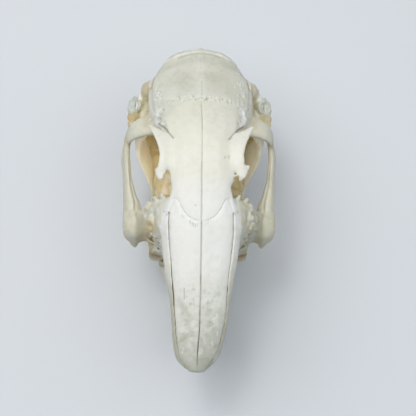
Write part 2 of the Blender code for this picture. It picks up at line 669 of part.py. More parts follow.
def merge_flats(mesh):
    """Join the small faces that lie almost in one plane, which cutting leaves behind."""
    bm = bmesh.new()
    bm.from_mesh(mesh)
    bmesh.ops.dissolve_limit(bm, angle_limit=FLAT_ANGLE, verts=bm.verts[:], edges=bm.edges[:])
    bmesh.ops.triangulate(bm, faces=bm.faces[:])
    bm.to_mesh(mesh)
    bm.free()


def finish(name, obj, color):
    """Give a bone its name and its own material, shaded smooth with sharp cut edges."""
    obj.name = name
    obj.data.name = name
    merge_flats(obj.data)
    material = bpy.data.materials.new(name)
    material.use_nodes = True
    shader = material.node_tree.nodes["Principled BSDF"]
    shader.inputs["Base Color"].default_value = color
    shader.inputs["Roughness"].default_value = 0.55
    shader.inputs["Metallic"].default_value = 0.0
    obj.data.materials.clear()
    obj.data.materials.append(material)
    obj.data.shade_smooth()
    obj.data.set_sharp_from_angle(angle=math.radians(40))


def finish_pair(name, right, color):
    """Finish a right bone and its mirrored left twin."""
    left = mirrored(right, name + "_left")
    finish(name + "_right", right, color)
    finish(name + "_left", left, color)


def build():
    """Model the skull whole, part it at its sutures, and add the jaw and front teeth."""
    for old in list(bpy.data.objects):
        bpy.data.objects.remove(old)

    ear = bulla()
    bar = arch()
    upper = bent_tooth("upper_incisor_right", UPPER_INCISOR, UPPER_INCISOR_X, UPPER_INCISOR_SIZE)
    peg = bent_tooth("peg_tooth_right", PEG_TOOTH, PEG_TOOTH_X, PEG_TOOTH_SIZE)
    lower = bent_tooth("lower_incisor_right", LOWER_INCISOR, LOWER_INCISOR_X, LOWER_INCISOR_SIZE)
    jaw = lower_jaw()
    combine(jaw, [swollen(lower, GAP)], "DIFFERENCE")

    skull = core()
    grown = []
    for part in (wing(), alveolus(), zygomatic_root(), spine(), temporal_process(), pterygoid(),
                 ball("mastoid", MASTOID_CENTRE, MASTOID_RADII), rod("paroccipital", PAROCCIPITAL),
                 ball("condyle", CONDYLE_CENTRE, CONDYLE_RADII)):
        grown += both_sides(part)
    for i, tooth in enumerate(UPPER_CHEEK):
        grown += both_sides(cheek_tooth(f"upper_tooth_{i}", tooth, BITE_HEIGHT + HALF_GAP,
                                        UPPER_ROOT))
    combine(skull, grown, "UNION")
    hollows = [nose_hole(), choana(), foramen_magnum(), optic_hole()] + both_sides(palate_slit())
    hollows += both_sides(swollen(ear, GAP)) + both_sides(swollen(bar, GAP))
    hollows += both_sides(swollen(upper, GAP)) + both_sides(swollen(peg, GAP))
    hollows += both_sides(swollen(jaw, GAP))
    for hollow in hollows:
        combine(skull, [hollow], "DIFFERENCE")

    finish_pair("nasal", take(skull, nasal_region, "nasal_right"), BONE)
    finish_pair("premaxilla", take(skull, premaxilla_region, "premaxilla_right"), BONE)
    finish_pair("frontal", take(skull, frontal_region, "frontal_right"), BONE)
    finish_pair("parietal", take(skull, parietal_region, "parietal_right"), BONE)
    occipital = take(skull, occipital_region, "occipital", whole=True)
    finish("occipital", occipital, BONE)
    finish_pair("maxilla", take(skull, maxilla_region, "maxilla_right"), BONE_WARM)
    finish_pair("temporal", take(skull, temporal_region, "temporal_right"), BONE)
    finish("sphenoid", skull, BONE_WARM)
    finish_pair("zygomatic_arch", bar, BONE)
    finish_pair("tympanic_bulla", ear, BONE)
    finish_pair("mandible", jaw, BONE)
    finish_pair("upper_incisor", upper, TOOTH)
    finish_pair("peg_tooth", peg, TOOTH)
    finish_pair("lower_incisor", lower, TOOTH)


build()
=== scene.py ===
"""Rabbit skull for a display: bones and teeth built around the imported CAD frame.

Shapes are worked out in the skull's own millimetres: x from the middle plane, s behind
the nasal tips, h above the floor. The image is taken to be 416 by 416 pixels.
"""
import math
from functools import cache

import bmesh
import bpy
import numpy as np
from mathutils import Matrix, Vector
from mathutils.bvhtree import BVHTree


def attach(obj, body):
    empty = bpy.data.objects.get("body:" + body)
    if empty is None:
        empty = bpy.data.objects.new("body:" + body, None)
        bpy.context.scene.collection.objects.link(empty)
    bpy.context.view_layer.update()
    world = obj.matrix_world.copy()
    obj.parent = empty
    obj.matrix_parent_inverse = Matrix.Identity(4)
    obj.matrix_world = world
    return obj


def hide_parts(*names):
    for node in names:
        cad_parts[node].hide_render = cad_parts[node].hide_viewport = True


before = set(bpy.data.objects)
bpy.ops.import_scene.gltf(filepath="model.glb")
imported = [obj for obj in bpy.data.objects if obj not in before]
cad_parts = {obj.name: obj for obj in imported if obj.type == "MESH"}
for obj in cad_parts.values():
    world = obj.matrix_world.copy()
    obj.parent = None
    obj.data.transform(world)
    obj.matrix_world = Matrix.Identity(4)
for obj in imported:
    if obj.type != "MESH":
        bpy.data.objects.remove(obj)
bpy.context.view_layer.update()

bl_info = {
    "name": "Rabbit Skull",
    "version": (1, 0, 0),
    "blender": (4, 5, 0),
    "location": "3D View > Sidebar > Skull",
    "description": "Builds the bones, teeth and display stage of a rabbit skull",
    "category": "Object",
}

MM = 0.001
MIDDLE_STATION = 44.9
SIDES = {"left": -1.0, "right": 1.0}

# Sutures, as stations and as shifts of the plain lines of the CAD
CORONAL = 71.0
NUCHAL = 84.8
SNOUT_BEND = 0.6

# Crowns of the cheek teeth: station, length along the row, outer x, width
UPPER_CHEEK = ((32.5, 1.9, 9.0, 1.9), (34.3, 3.3, 13.7, 4.4), (37.5, 3.3, 13.9, 4.6),
               (40.7, 3.3, 13.8, 4.6), (43.8, 3.1, 13.4, 4.3), (46.2, 2.0, 12.4, 2.8))
LOWER_CHEEK = ((34.2, 3.7, 10.9, 3.9), (37.6, 3.3, 11.1, 4.0), (40.8, 3.3, 11.2, 4.0),
               (44.0, 3.3, 11.2, 3.9), (46.6, 2.2, 11.0, 2.9))
BITE_HEIGHT = 22.0
UPPER_GUM = 26.0
LOWER_GUM = 18.2
INCISOR_GROOVE = 1.33   # x of the groove down the front of an upper incisor

# Bones that meet each bone in a shut suture; the nasals' outer sutures stay open
PARTNERS = {
    "nasal": ("nasal", "frontal"),
    "premaxilla": ("premaxilla", "maxilla", "frontal"),
    "frontal": ("frontal", "nasal", "premaxilla", "parietal", "maxilla", "temporal", "sphenoid"),
    "parietal": ("parietal", "frontal", "temporal", "occipital", "sphenoid"),
    "occipital": ("parietal", "temporal", "tympanic_bulla", "sphenoid"),
    "temporal": ("parietal", "frontal", "occipital", "zygomatic_arch", "tympanic_bulla", "sphenoid"),
    "maxilla": ("maxilla", "premaxilla", "frontal", "sphenoid"),
    "sphenoid": ("frontal", "temporal", "maxilla", "occipital", "parietal", "tympanic_bulla"),
    "zygomatic_arch": ("temporal",),
    "tympanic_bulla": ("temporal", "occipital", "sphenoid"),
    "mandible": ("mandible",),
}
OPEN = {"nasal": ("premaxilla",), "premaxilla": ("nasal",)}
FLUSH = {
    "premaxilla": ("maxilla", "frontal"),
    "frontal": ("premaxilla", "maxilla", "temporal", "sphenoid"),
    "parietal": ("temporal", "sphenoid"),
    "occipital": ("temporal",),
    "temporal": ("parietal", "frontal", "occipital", "zygomatic_arch", "sphenoid"),
    "maxilla": ("premaxilla", "frontal", "sphenoid"),
    "sphenoid": ("frontal", "temporal", "maxilla", "parietal"),
    "zygomatic_arch": ("temporal",),
}

# Light under the surface of each sort of bone: its share, and its depth in metres
BONE_LOOKS = {"dry_bone": (0.12, 0.0012), "thin_dry_bone": (0.35, 0.0018), "thin_jaw_bone": (0.8, 0.003)}
TOOTH_TINTS = {"incisor": (1.0, 1.0, 1.0), "cheek_tooth": (0.76, 0.74, 0.62)}

WAVE_SEED = 7
CREASE_SEED = 11
SKY_CELL = 1.2       # width of the patches whose shelter is measured
SKY_START = 0.7
SKY_REACH = 16.0
FLUSH_REACH = 3.2
SKIN_LIFT = 0.18
OUTSIDE = 15.5       # x from which rays are sent at the side wall of the snout
LATTICE_REACH = (22.5, 41.0, 33.5, 47.5)   # stations and heights

# Marks of the upper surface, as x and station
FLATTER = np.array((1, 1, 0.35))   # heights count for less in the distance from a mark
SNOUT_PATCHES = ((-5.6, 16.4, 0.4), (-4.6, 15.2, 0.45), (-3.6, 13.6, 0.37), (-4.8, 12.8, 0.35),
                 (-3.2, 10.2, 0.35), (5.2, 14.0, 0.35), (3.9, 8.6, 0.35))
# Glints on the snout: raised white strokes with gloss, painted highlights
SNOUT_GLINTS = (((5.6, 17.9), (5.2, 16.2)), ((5.0, 15.6), (4.6, 14.2)), ((4.5, 13.4), (4.45, 12.6)),
                ((4.6, 11.4), (4.7, 10.4)), ((-2.5, 7.9), (-1.9, 6.8), (-1.3, 6.2)),
                ((-3.4, 9.2), (-2.8, 8.6)), ((1.5, 6.8), (1.9, 6.0)), ((3.5, 6.3), (3.9, 5.6)),
                ((4.9, 9.0), (4.75, 8.2)))
FRONTAL_TICKS = ((-5.1, 37.9, 0.4), (-4.6, 37.5, 0.3), (-3.0, 36.3, 0.5), (-2.75, 35.8, 0.25),
                 (-2.2, 35.7, 0.6), (-1.6, 35.4, 0.55), (-1.1, 35.6, 0.3), (1.1, 36.0, 0.35),
                 (1.7, 36.3, 0.45), (2.4, 36.5, 0.3), (3.2, 37.1, 0.2))
FRONTAL_PITS = ((((6.2, 53.3), (6.3, 53.5)), 0.6, 0.12, "olive", 0.45),
                (((7.2, 53.4), (7.3, 53.9)), 0.6, 0.16, "olive", 0.5),
                (((-1.6, 40.5), (-1.6, 40.6)), 0.3, 0.08, "suture", 0.5),
                (((-8.9, 38.9), (-9.0, 38.6)), 0.4, 0.15, "suture", 0.5),
                (((8.9, 39.1), (9.0, 38.8)), 0.4, 0.12, "suture", 0.35))
MIDDLE_LINES = (((1.5, 12, 24, 36), 0.3, 0.10, "suture", 0.35), ((36, 44, 52), 0.28, 0.06, "suture", 0.35),
                ((52, 60, 69), 0.22, 0.04, "grey", 0.4), ((72, 77), 0.3, 0.05, "grey", 0.3))
RIDGE_SPECKLES = ((-12.1, 76.2), (-12.6, 74.8), (-12.0, 73.3), (-12.4, 75.6), (-11.6, 74.2),
                  (-12.5, 72.2), (-11.2, 72.4), (10.2, 77.9), (10.9, 77.2), (11.3, 76.1),
                  (11.9, 74.8), (11.9, 73.5), (10.2, 73.2), (9.4, 76.2))
# Raised temporal lines, painted white as highlights, with small bumps and dots about them
ROUGH_RIDGES = {-1: ((-10.9, 68.7), (-11.9, 67.2), (-12.4, 65.6), (-11.6, 64.5), (-10.4, 63.8)),
                1: ((10.5, 69.4), (11.6, 67.9), (12.0, 66.2), (11.5, 64.8), (10.4, 63.8))}

# Marks of both sides, as distance from the middle and station
# Slits under the rear edges of the wings, painted dark as shade
WING_SLIT = {-1: ((7.6, 59.2), (8.6, 60.6), (9.6, 62.2), (10.6, 63.6), (11.6, 64.6)),
             1: ((7.4, 59.0), (8.5, 60.7), (10.0, 62.5), (11.5, 64.0))}
# Along the side rims: a dark groove, a raised white line painted as a highlight, a grey line painted as shade
# at the edge, and a raised line of plain bone
RIM_LINES = (
    (((13.6, 76.8), (13.3, 78.8), (12.8, 80.6), (12.0, 83.0), (10.9, 84.9)), 0.4, 0.14, "suture", 0.6),
    (((14.1, 77.6), (13.8, 79.6), (13.3, 81.4), (12.5, 83.7), (11.4, 85.7)), 0.6, -0.16, "white", 0.6),
    (((13.4, 76.6), (13.3, 73.4), (13.0, 70.4), (12.4, 68.0)), 0.4, 0.05, "grey", 0.4),
    (((14.1, 76.4), (14.0, 73.0), (13.6, 70.2), (13.0, 67.8)), 0.6, -0.04, "bone", 0.5))

# Camera of the photograph: place in metres, turn about x, y and z in degrees
CAMERA_PLACE = (-0.01309, -0.09815, 0.38072)
CAMERA_TURN = (15.836, -2.5946, 0.0556)


def length_prop(name, description, default):
    """Length of the panel, in metres."""
    return bpy.props.FloatProperty(name=name, description=description, default=default, min=0.0001,
                                   unit="LENGTH")


def amount_prop(name, description, default, least=0.0):
    """Plain number of the panel."""
    return bpy.props.FloatProperty(name=name, description=description, default=default, min=least)


def color_prop(name, description, default):
    """Colour of the panel."""
    return bpy.props.FloatVectorProperty(name=name, description=description, default=default, subtype="COLOR",
                                         size=3, min=0.0, max=1.0)


class SkullSizes(bpy.types.PropertyGroup):
    """Sizes of the bones' finish."""

    voxel: length_prop("Surface step", "Distance between the points of a bone's surface", 0.00026)
    fine_voxel: length_prop("Fine surface step", "The same, on teeth and on the lattice", 0.00020)
    roof_voxel: length_prop("Roof surface step", "The same, on the bones seen most", 0.00021)
    overlap: length_prop("Suture overlap", "How far bones of a shut suture run together", 0.00030)
    zigzag: length_prop("Coronal zigzag", "Swing of the teeth of the coronal suture", 0.00042)
    lattice_cell: length_prop("Lattice cell", "Width of a hole of the cheek lattice", 0.0018)
    lattice_bar: length_prop("Lattice bar", "Radius of a bar of the cheek lattice", 0.00030)
    lattice_depth: length_prop("Lattice depth", "How far the lattice stands off its bed", 0.0013)


class SkullColors(bpy.types.PropertyGroup):
    """Colours of bone, teeth and floor."""

    bone: color_prop("Bone", "Bleached bone", (0.86, 0.86, 0.80))
    white: color_prop("White", "Thickest, brightest bone", (0.90, 0.90, 0.87))
    cream: color_prop("Cream", "Faint yellow of the skull roof", (0.83, 0.80, 0.60))
    grey: color_prop("Grey", "Worn grey-green patches", (0.53, 0.54, 0.45))
    olive: color_prop("Olive", "Thin plates before the eyes", (0.47, 0.46, 0.33))
    glassy: color_prop("Glassy", "Thin see-through edges", (0.60, 0.65, 0.62))
    # Ochre and amber are stain, and where they are laid by how much sky a point has blocked they are painted
    # shade as well
    ochre: color_prop("Ochre", "Stain in the hollows", (0.66, 0.52, 0.25))
    amber: color_prop("Amber", "Stain in the deepest hollows", (0.50, 0.36, 0.13))
    tan: color_prop("Tan", "Thin plates of the lower jaw", (0.90, 0.81, 0.65))
    suture: color_prop("Suture", "Olive brown of the open sutures", (0.31, 0.29, 0.20))
    enamel: color_prop("Enamel", "Front teeth", (0.84, 0.78, 0.60))
    cement: color_prop("Cement", "Brown in the grooves of the cheek teeth", (0.42, 0.31, 0.15))
    floor: color_prop("Floor", "Display floor", (0.76, 0.79, 0.825))


class SkullStage(bpy.types.PropertyGroup):
    """Floor, lights and camera."""

    floor_size: length_prop("Floor size", "Width of the floor", 6.0)
    key_power: amount_prop("Key light", "Power of the small lamp, above left", 0.85)
    left_power: amount_prop("Left light", "Power of the wide lamp on the left", 3.3)
    top_power: amount_prop("Top light", "Power of the wide lamp overhead", 2.1)
    right_power: amount_prop("Right light", "Power of the wide lamp on the right", 1.25)
    sky: amount_prop("Sky", "Strength of the light from all round", 0.13)
    lens: amount_prop("Lens", "Focal length of the camera in millimetres", 112.5, 10.0)


def sizes():
    """Sizes set in the panel."""
    return bpy.context.scene.skull_sizes


def colors():
    """Colours set in the panel."""
    return bpy.context.scene.skull_colors


# Geometry in skull millimetres


def to_skull(points):
    """Skull millimetres of points given in metres."""
    return np.asarray(points, float).reshape(-1, 3) * 1000 + (0, MIDDLE_STATION, 0)


def to_world(points):
    """Metres of points given in skull millimetres."""
    return (np.asarray(points, float).reshape(-1, 3) - (0, MIDDLE_STATION, 0)) * MM


def cad_surface(node):
    """Corners in skull millimetres and triangles of a CAD node, with its loose corners merged."""
    bm = bmesh.new()
    bm.from_mesh(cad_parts[node].data)
    bmesh.ops.remove_doubles(bm, verts=bm.verts[:], dist=1e-6)
    bmesh.ops.triangulate(bm, faces=bm.faces[:])
    points = to_skull([v.co for v in bm.verts])
    faces = [[v.index for v in f.verts] for f in bm.faces]
    bm.free()
    return points, faces


CAD = {name: cad_surface(name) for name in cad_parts}


def cad_tree(names):
    """Search tree over the surfaces of several CAD nodes."""
    points = []
    faces = []
    for name in names:
        start = len(points)
        points += [tuple(p) for p in CAD[name][0]]
        faces += [[i + start for i in f] for f in CAD[name][1]]
    return BVHTree.FromPolygons(points, faces)


WHOLE = cad_tree(CAD)


def kind(node):
    """Name of a node without its side."""
    return node.removesuffix("_left").removesuffix("_right")


def mirrored(line, side):
    """Points with their x turned to one side."""
    return [(side * x, *rest) for x, *rest in line]


def drape(line):
    """Points of the skull's upper surface over a line of x and station. The rays miss the middle seam."""
    found = []
    for x, s in line:
        hit = WHOLE.ray_cast(Vector((x if abs(x) > 0.2 else 0.3, s, 70)), Vector((0, 0, -1)))
        if hit[0] is not None:
            found.append((x, s, hit[0].z))
    return found


def fade(value, start, end):
    """Smooth step from 0 at the start to 1 at the end, which may lie below the start."""
    t = np.clip((np.asarray(value, float) - start) / (end - start), 0, 1)
    return t * t * (3 - 2 * t)


def noise(points, size, seed):
    """Smooth values between -1 and 1 over points, with features of about the given size."""
    at = points / size + np.array((seed * 3.71, seed * 7.13, seed * 1.97)) + 500
    cell = np.floor(at).astype(np.int64)
    part = at - cell
    ease = part * part * (3 - 2 * part)
    total = np.zeros(len(points))
    for corner in np.ndindex(2, 2, 2):
        key = (cell + corner) @ np.array((73856093, 19349663, 83492791))
        key = (key ^ (key >> 13)) * 1274126177
        value = ((key ^ (key >> 16)) & 0xFFFFFF) / 0x7FFFFF - 1
        total += value * np.prod(np.where(corner, ease, 1 - ease), axis=1)
    return total


def line_distance(points, line):
    """Distance of each point from a line through several points."""
    best = np.full(len(points), 1e9)
    line = np.asarray(line, float)
    for a, b in zip(line, line[1:]):
        way = b - a
        t = np.clip((points - a) @ way / (way @ way), 0, 1)
        best = np.minimum(best, np.linalg.norm(points - a - t[:, None] * way, axis=1))
    return best


def averaged(points, edges, rounds):
    """Points moved towards the mean of their neighbours, several times."""
    a, b = edges.T
    count = len(points)
    share = 0.5 / np.maximum(np.bincount(edges.ravel(), minlength=count), 1)
    for _ in range(rounds):
        total = np.stack([np.bincount(a, points[b, k], count) + np.bincount(b, points[a, k], count)
                          for k in range(points.shape[1])], axis=1)
        points = points * 0.5 + total * share[:, None]
    return points


def largest_part(count, edges):
    """Mask of the corners on the largest connected surface."""
    label = np.arange(count)
    while True:
        low = np.minimum(label[edges[:, 0]], label[edges[:, 1]])
        new = label.copy()
        np.minimum.at(new, edges[:, 0], low)
        np.minimum.at(new, edges[:, 1], low)
        new = new[new]
        if (new == label).all():
            break
        label = new
    return label == np.bincount(label).argmax()


def settle(points):
    """Shift of the plain CAD lines to a real skull's: bent snout, saw-toothed and curved sutures."""
    moved = points.copy()
    x, s, h = points.T
    swing = sizes().zigzag * 1000 * (0.55 + 0.45 * noise(points * (1, 0, 0), 3.1, 4))
    saw = np.abs(((x + 0.5 * noise(points * (1, 0, 0), 1.7, 9)) / 1.15) % 1 - 0.5) * 4 - 1
    roof = fade(h, 44, 47)
    moved[:, 1] += swing * saw * roof * fade(np.abs(s - CORONAL), 1.8, 0.3)
    back = np.clip(2.3 - 0.026 * x * x, -2.2, 2.3) * fade(h, 37, 41)
    moved[:, 1] += back * fade(np.abs(s - NUCHAL), 5.0, 0.2)
    moved[:, 0] -= SNOUT_BEND * fade(13 - s, 0, 14) * fade(h, 14, 24)
    moved[:, 1] -= 0.8 * fade(s, 5, 0) * fade(h, 29, 36) * fade(np.abs(x), 4.6, 0.8)
    out, back = np.abs(x) - 7.9, s - 40.4
    far = np.hypot(out, back)
    wide = 0.55 * far / (0.5 + far) * np.exp(-(far / 2.2) ** 2) * roof / np.maximum(far, 0.01)
    moved[:, 0] += np.sign(x) * out * wide
    moved[:, 1] += back * wide
    wander = fade(np.abs(x), 2.4, 0.4) * fade(h, 34, 38)
    moved[:, 0] += 0.16 * noise(points * (0, 1, 0), 5.0, 2) * wander
    side = fade(s, 2, 8) * fade(s, 38, 34) * fade(h, 34, 38)
    moved[:, 0] += 0.10 * noise(points * (0, 1, 0), 2.6, 6) * side * fade(np.abs(x), 3, 6)
    moved[:, 2] = np.maximum(moved[:, 2], 0.0)
    return moved


def tube(bm, line, radii, sides=10):
    """Add a closed round bar along a line of points, one radius for each."""
    line = [Vector(p) for p in line]
    loops = []
    for i, point in enumerate(line):
        way = (line[min(i + 1, len(line) - 1)] - line[max(i - 1, 0)]).normalized()
        across = way.orthogonal().normalized() if i == 0 else (across - way * across.dot(way)).normalized()
        other = way.cross(across)
        loops.append([bm.verts.new(point + (across * math.cos(math.tau * k / sides)
                                            + other * math.sin(math.tau * k / sides)) * radii[i])
                      for k in range(sides)])
    for one, two in zip(loops, loops[1:]):
        for k in range(sides):
            bm.faces.new((one[k], one[(k + 1) % sides], two[(k + 1) % sides], two[k]))
    bm.faces.new(loops[0][::-1])
    bm.faces.new(loops[-1])


def egg(bm, centre, radii):
    """Add a closed egg shape of three radii."""
    made = bmesh.ops.create_icosphere(bm, subdivisions=3, radius=1)
    for v in made["verts"]:
        v.co = Vector(centre) + Vector(a * b for a, b in zip(v.co, radii))


def sky_rays(count):
    """Directions spread evenly over a ball."""
    turn = math.pi * (3 - math.sqrt(5))
    rays = []
    for i in range(count):
        z = 1 - (2 * i + 1) / count
        flat = math.sqrt(1 - z * z)
        rays.append(Vector((math.cos(turn * i) * flat, math.sin(turn * i) * flat, z)))
    return rays


SKY_RAYS = sky_rays(26)


# Meshes


def numbers(items, key, width, sort=np.float32):
    """Values of a mesh's points or edges, one row for each."""
    found = np.empty(len(items) * width, sort)
    items.foreach_get(key, found)
    return found.reshape(-1, width)


def places(mesh):
    """Points of a mesh."""
    return numbers(mesh.vertices, "co", 3).astype(float)


def add_object(name, data):
    """New object in the scene."""
    obj = bpy.data.objects.new(name, data)
    bpy.context.scene.collection.objects.link(obj)
    return obj


def mesh_from(bm, name, outward=True):
    """New mesh of a bmesh, which is freed."""
    if outward:
        bmesh.ops.recalc_face_normals(bm, faces=bm.faces[:])
    mesh = bpy.data.meshes.new(name)
    bm.to_mesh(mesh)
    bm.free()
    return mesh


def applied(obj, step):
    """Plain mesh that a modifier makes of an object. The modifier is removed."""
    bpy.context.view_layer.update()
    graph = bpy.context.evaluated_depsgraph_get()
    mesh = bpy.data.meshes.new_from_object(obj.evaluated_get(graph))
    obj.modifiers.remove(step)
    return mesh


def add_values(mesh, name, amount):
    """Store a number from 0 to 1 on each point of a mesh."""
    amount = np.clip(np.broadcast_to(amount, len(mesh.vertices)), 0, 1)
    mesh.attributes.new(name, "FLOAT", "POINT").data.foreach_set("value", amount.astype(np.float32))


def hand_over(obj, points, node):
    """Give a piece its settled points, and tie it to the frame."""
    obj.data.vertices.foreach_set("co", to_world(settle(points)).astype(np.float32).ravel())
    obj.data.shade_smooth()
    obj.data.update()
    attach(obj, "root")
    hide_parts(node)


class Sculpt:
    """One piece's surface while it is shaped, in skull millimetres."""

    def __init__(self, node, bm, voxel, ending="bone", outward=True):
        self.node = node
        self.obj = add_object(f"{node}_{ending}", mesh_from(bm, node, outward))
        self.remesh(voxel)

    def remesh(self, voxel):
        """Give the surface an even net of points, and keep its largest part."""
        step = self.obj.modifiers.new("Even net", "REMESH")
        step.mode = "VOXEL"
        step.voxel_size = voxel * 1000
        mesh = applied(self.obj, step)
        keep = largest_part(len(mesh.vertices), numbers(mesh.edges, "vertices", 2, np.int32))
        if not keep.all():
            bm = bmesh.new()
            bm.from_mesh(mesh)
            loose = [v for v, kept in zip(bm.verts, keep) if not kept]
            bmesh.ops.delete(bm, geom=loose, context="VERTS")
            bm.to_mesh(mesh)
            bm.free()
        self.take(mesh)

    def take(self, mesh):
        """Use this mesh from now on."""
        old = self.obj.data
        self.obj.data = mesh
        bpy.data.meshes.remove(old)
        self.edges = numbers(mesh.edges, "vertices", 2, np.int32)
        self.points = places(mesh)
        self.color = np.tile(colors().bone, (len(self.points), 1))
        self.wear = 0.15
        self.gloss, self.painted_glow, self.line = np.zeros((3, len(self.points)))

    def cut(self, bm, voxel):
        """Take a tool's shape away."""
        tool = add_object("tool", mesh_from(bm, "tool"))
        step = self.obj.modifiers.new("Cut", "BOOLEAN")
        step.operation = "DIFFERENCE"
        step.solver = "EXACT"
        step.use_self = True
        step.object = tool
        made = applied(self.obj, step)
        bpy.data.objects.remove(tool)
        self.take(made)
        self.remesh(voxel)

    def paint(self, name, weight):
        """Blend a named colour in, with a weight for each point."""
        share = np.clip(np.broadcast_to(weight, len(self.points)), 0, 1)[:, None]
        self.color = self.color + (np.array(getattr(colors(), name)) - self.color) * share

    def store(self):
        """Put the points back into the mesh."""
        self.obj.data.vertices.foreach_set("co", self.points.astype(np.float32).ravel())
        self.obj.data.update()

    def normals(self):
        """Outward directions at the points."""
        self.store()
        return numbers(self.obj.data.vertex_normals, "vector", 3).astype(float)

    def relax(self, rounds=36, slack=0.2):
        """Round off the flats of the CAD, and leave its corners and thin edges where they are."""
        soft = averaged(self.points, self.edges, 3)
        way = averaged(soft, self.edges, rounds) - soft
        weight = fade(np.linalg.norm(way, axis=1), slack * 1.6, slack * 0.6)
        weight = averaged(weight[:, None], self.edges, 6)
        self.points = averaged(soft + way * weight, self.edges, 2)

    def smooth(self, rounds, share):
        """Even out the points by a share of their own."""
        self.points = self.points + (averaged(self.points, self.edges, rounds) - self.points) * share[:, None]

    def push(self, amount):
        """Move the points out by an amount, one number or one for each."""
        self.points = self.points + self.normals() * np.reshape(amount, (-1, 1))

    def swell(self, far, height):
        """Raise the points where a distance is below 1, most at 0."""
        near = far < 1
        if near.any():
            self.points[near] += self.normals()[near] * (height * (1 - far[near] ** 2) ** 2)[:, None]

    def dent(self, centre, radius, depth):
        """Press a round pit in."""
        self.swell(np.linalg.norm(self.points - np.array(centre), axis=1) / radius, -depth)

    def crest(self, line, width, height):
        """Raise a ridge along a line, or cut a groove where the height is negative."""
        self.swell(line_distance(self.points, line) / width, height)

    def uneven(self, size, height, where=1.0):
        """Waves of a real bone's surface."""
        self.push(noise(self.points, size, WAVE_SEED) * height * where)

    def crumple(self, size, depth, where=1.0):
        """Press in winding creases, as in thin crumpled bone."""
        self.push(-depth * (1 - np.abs(noise(self.points, size, CREASE_SEED))) ** 6 * where)

    def shelter(self):
        """How much of the sky each point has blocked, from 0 in the open to 1 in a deep hollow."""
        clear = 1.01 - fade(self.near, 0.1, 0.6)
        cells = np.floor(self.points / SKY_CELL).astype(np.int64)
        inverse = np.unique(cells @ np.array((1, 4001, 16008001)), return_inverse=True)[1].ravel()
        middle, facing = (np.stack([np.bincount(inverse, rows[:, k] * clear) for k in range(3)], axis=1)
                          for rows in (self.points, self.normals()))
        middle /= np.bincount(inverse, clear)[:, None]
        facing /= np.maximum(np.linalg.norm(facing, axis=1), 1e-6)[:, None]
        blocked = np.zeros(len(middle))
        for i, (point, normal) in enumerate(zip(middle, facing)):
            direct = Vector(normal)
            start = Vector(point) + direct * SKY_START
            seen = 0
            shut = 0
            for ray in SKY_RAYS:
                lean = ray.dot(direct)
                if lean > 0.1:
                    seen += lean
                    if WHOLE.ray_cast(start, ray, SKY_REACH)[0] is not None:
                        shut += lean
            blocked[i] = shut / max(seen, 0.1)
        both = averaged(np.stack([blocked[inverse] * clear, clear], axis=1), self.edges, 16)
        return both[:, 0] / both[:, 1]

    def knit(self, overlap):
        """Run the bone into its partners at shut sutures, and nearly up to them at open ones."""
        own = kind(self.node)
        self.near, self.line = np.zeros((2, len(self.points)))
        shut = PARTNERS.get(own, ())
        plain = sizes().overlap * 1000
        for partners, past, reach in (([k for k in shut if k == own], overlap, 1.1),
                                      ([k for k in shut if k != own], max(overlap, plain * 0.6), 1.1),
                                      (OPEN.get(own, ()), -0.03, 0.6)):
            names = [n for n in CAD if n != self.node and kind(n) in partners]
            if not names:
                continue
            others = cad_tree(names)
            moves = np.zeros(self.points.shape)
            for i, point in enumerate(self.points):
                hit = others.find_nearest(Vector(point), reach)
                if hit[0] is not None:
                    far = max(hit[3], 1e-3)
                    ease = min(max((reach - far) / (reach - 0.3), 0), 1)
                    moves[i] = (hit[0] - Vector(point)) / far * (far / 2 + past) * ease
                    self.near[i] = max(self.near[i], 1 - far / reach)
                    if past < 0:
                        self.line[i] = 1 - far / reach
            self.points = self.points + averaged(moves, self.edges, 2)

    def match(self):
        """Lay the surface near flush sutures on the skull's even skin, diving under it past the suture."""
        names = [n for n in CAD if n != self.node and kind(n) in FLUSH.get(kind(self.node), ())]
        if not names:
            return
        outer = skin()
        others = cad_tree(names)
        own = cad_tree([self.node])
        normals = self.normals()
        moves = np.zeros(self.points.shape)
        for i, point in enumerate(self.points):
            point = Vector(point)
            hit = others.find_nearest(point, FLUSH_REACH)
            if hit[0] is None:
                continue
            over = outer.find_nearest(point, 0.9)
            if over[0] is None:
                continue
            agree = over[1].dot(Vector(normals[i]))
            if agree <= 0:
                continue
            mine = own.find_nearest(point)[3]
            dive = min(max(mine - hit[3], 0) * 0.7, 0.3)
            share = min(1, agree * 2) * min(max((FLUSH_REACH - hit[3]) / 1.8, 0), 1)
            moves[i] = (over[0] - over[1] * dive - point) * share
        self.points = self.points + averaged(moves, self.edges, 3)

    def ready(self, overlap=None):
        """Measure the bone's neighbours and shelter, close its sutures and give it its first colours, with
        painted shade in the hollows and a painted glow in the eye sockets.
        """
        before = self.points.copy()
        self.knit((sizes().overlap if overlap is None else overlap) * 1000)
        after = self.points
        self.points = before
        self.blocked = self.shelter()
        self.points = after
        self.match()
        self.push(0.05)
        # Cream, ochre and amber where the sky is blocked: stain of the hollows together with painted shade
        self.paint("cream", 0.6 * fade(self.blocked, 0.25, 0.5))
        self.paint("ochre", 0.9 * fade(self.blocked, 0.42, 0.72))
        self.paint("amber", 0.7 * fade(self.blocked, 0.68, 0.95))
        x, s, h = self.points.T
        out = np.abs(x)
        socket = (fade(out, 4, 6) * fade(out, 16, 14.5) * fade(s, 40, 44) * fade(s, 67, 64)
                  * fade(h, 18, 24) * fade(h, 49, 46))
        # Painted glow of the sheltered walls of the eye sockets, stronger on the left
        self.painted_glow = np.where(x < 0, 0.085, 0.04) * socket * fade(self.blocked, 0.3, 0.6)

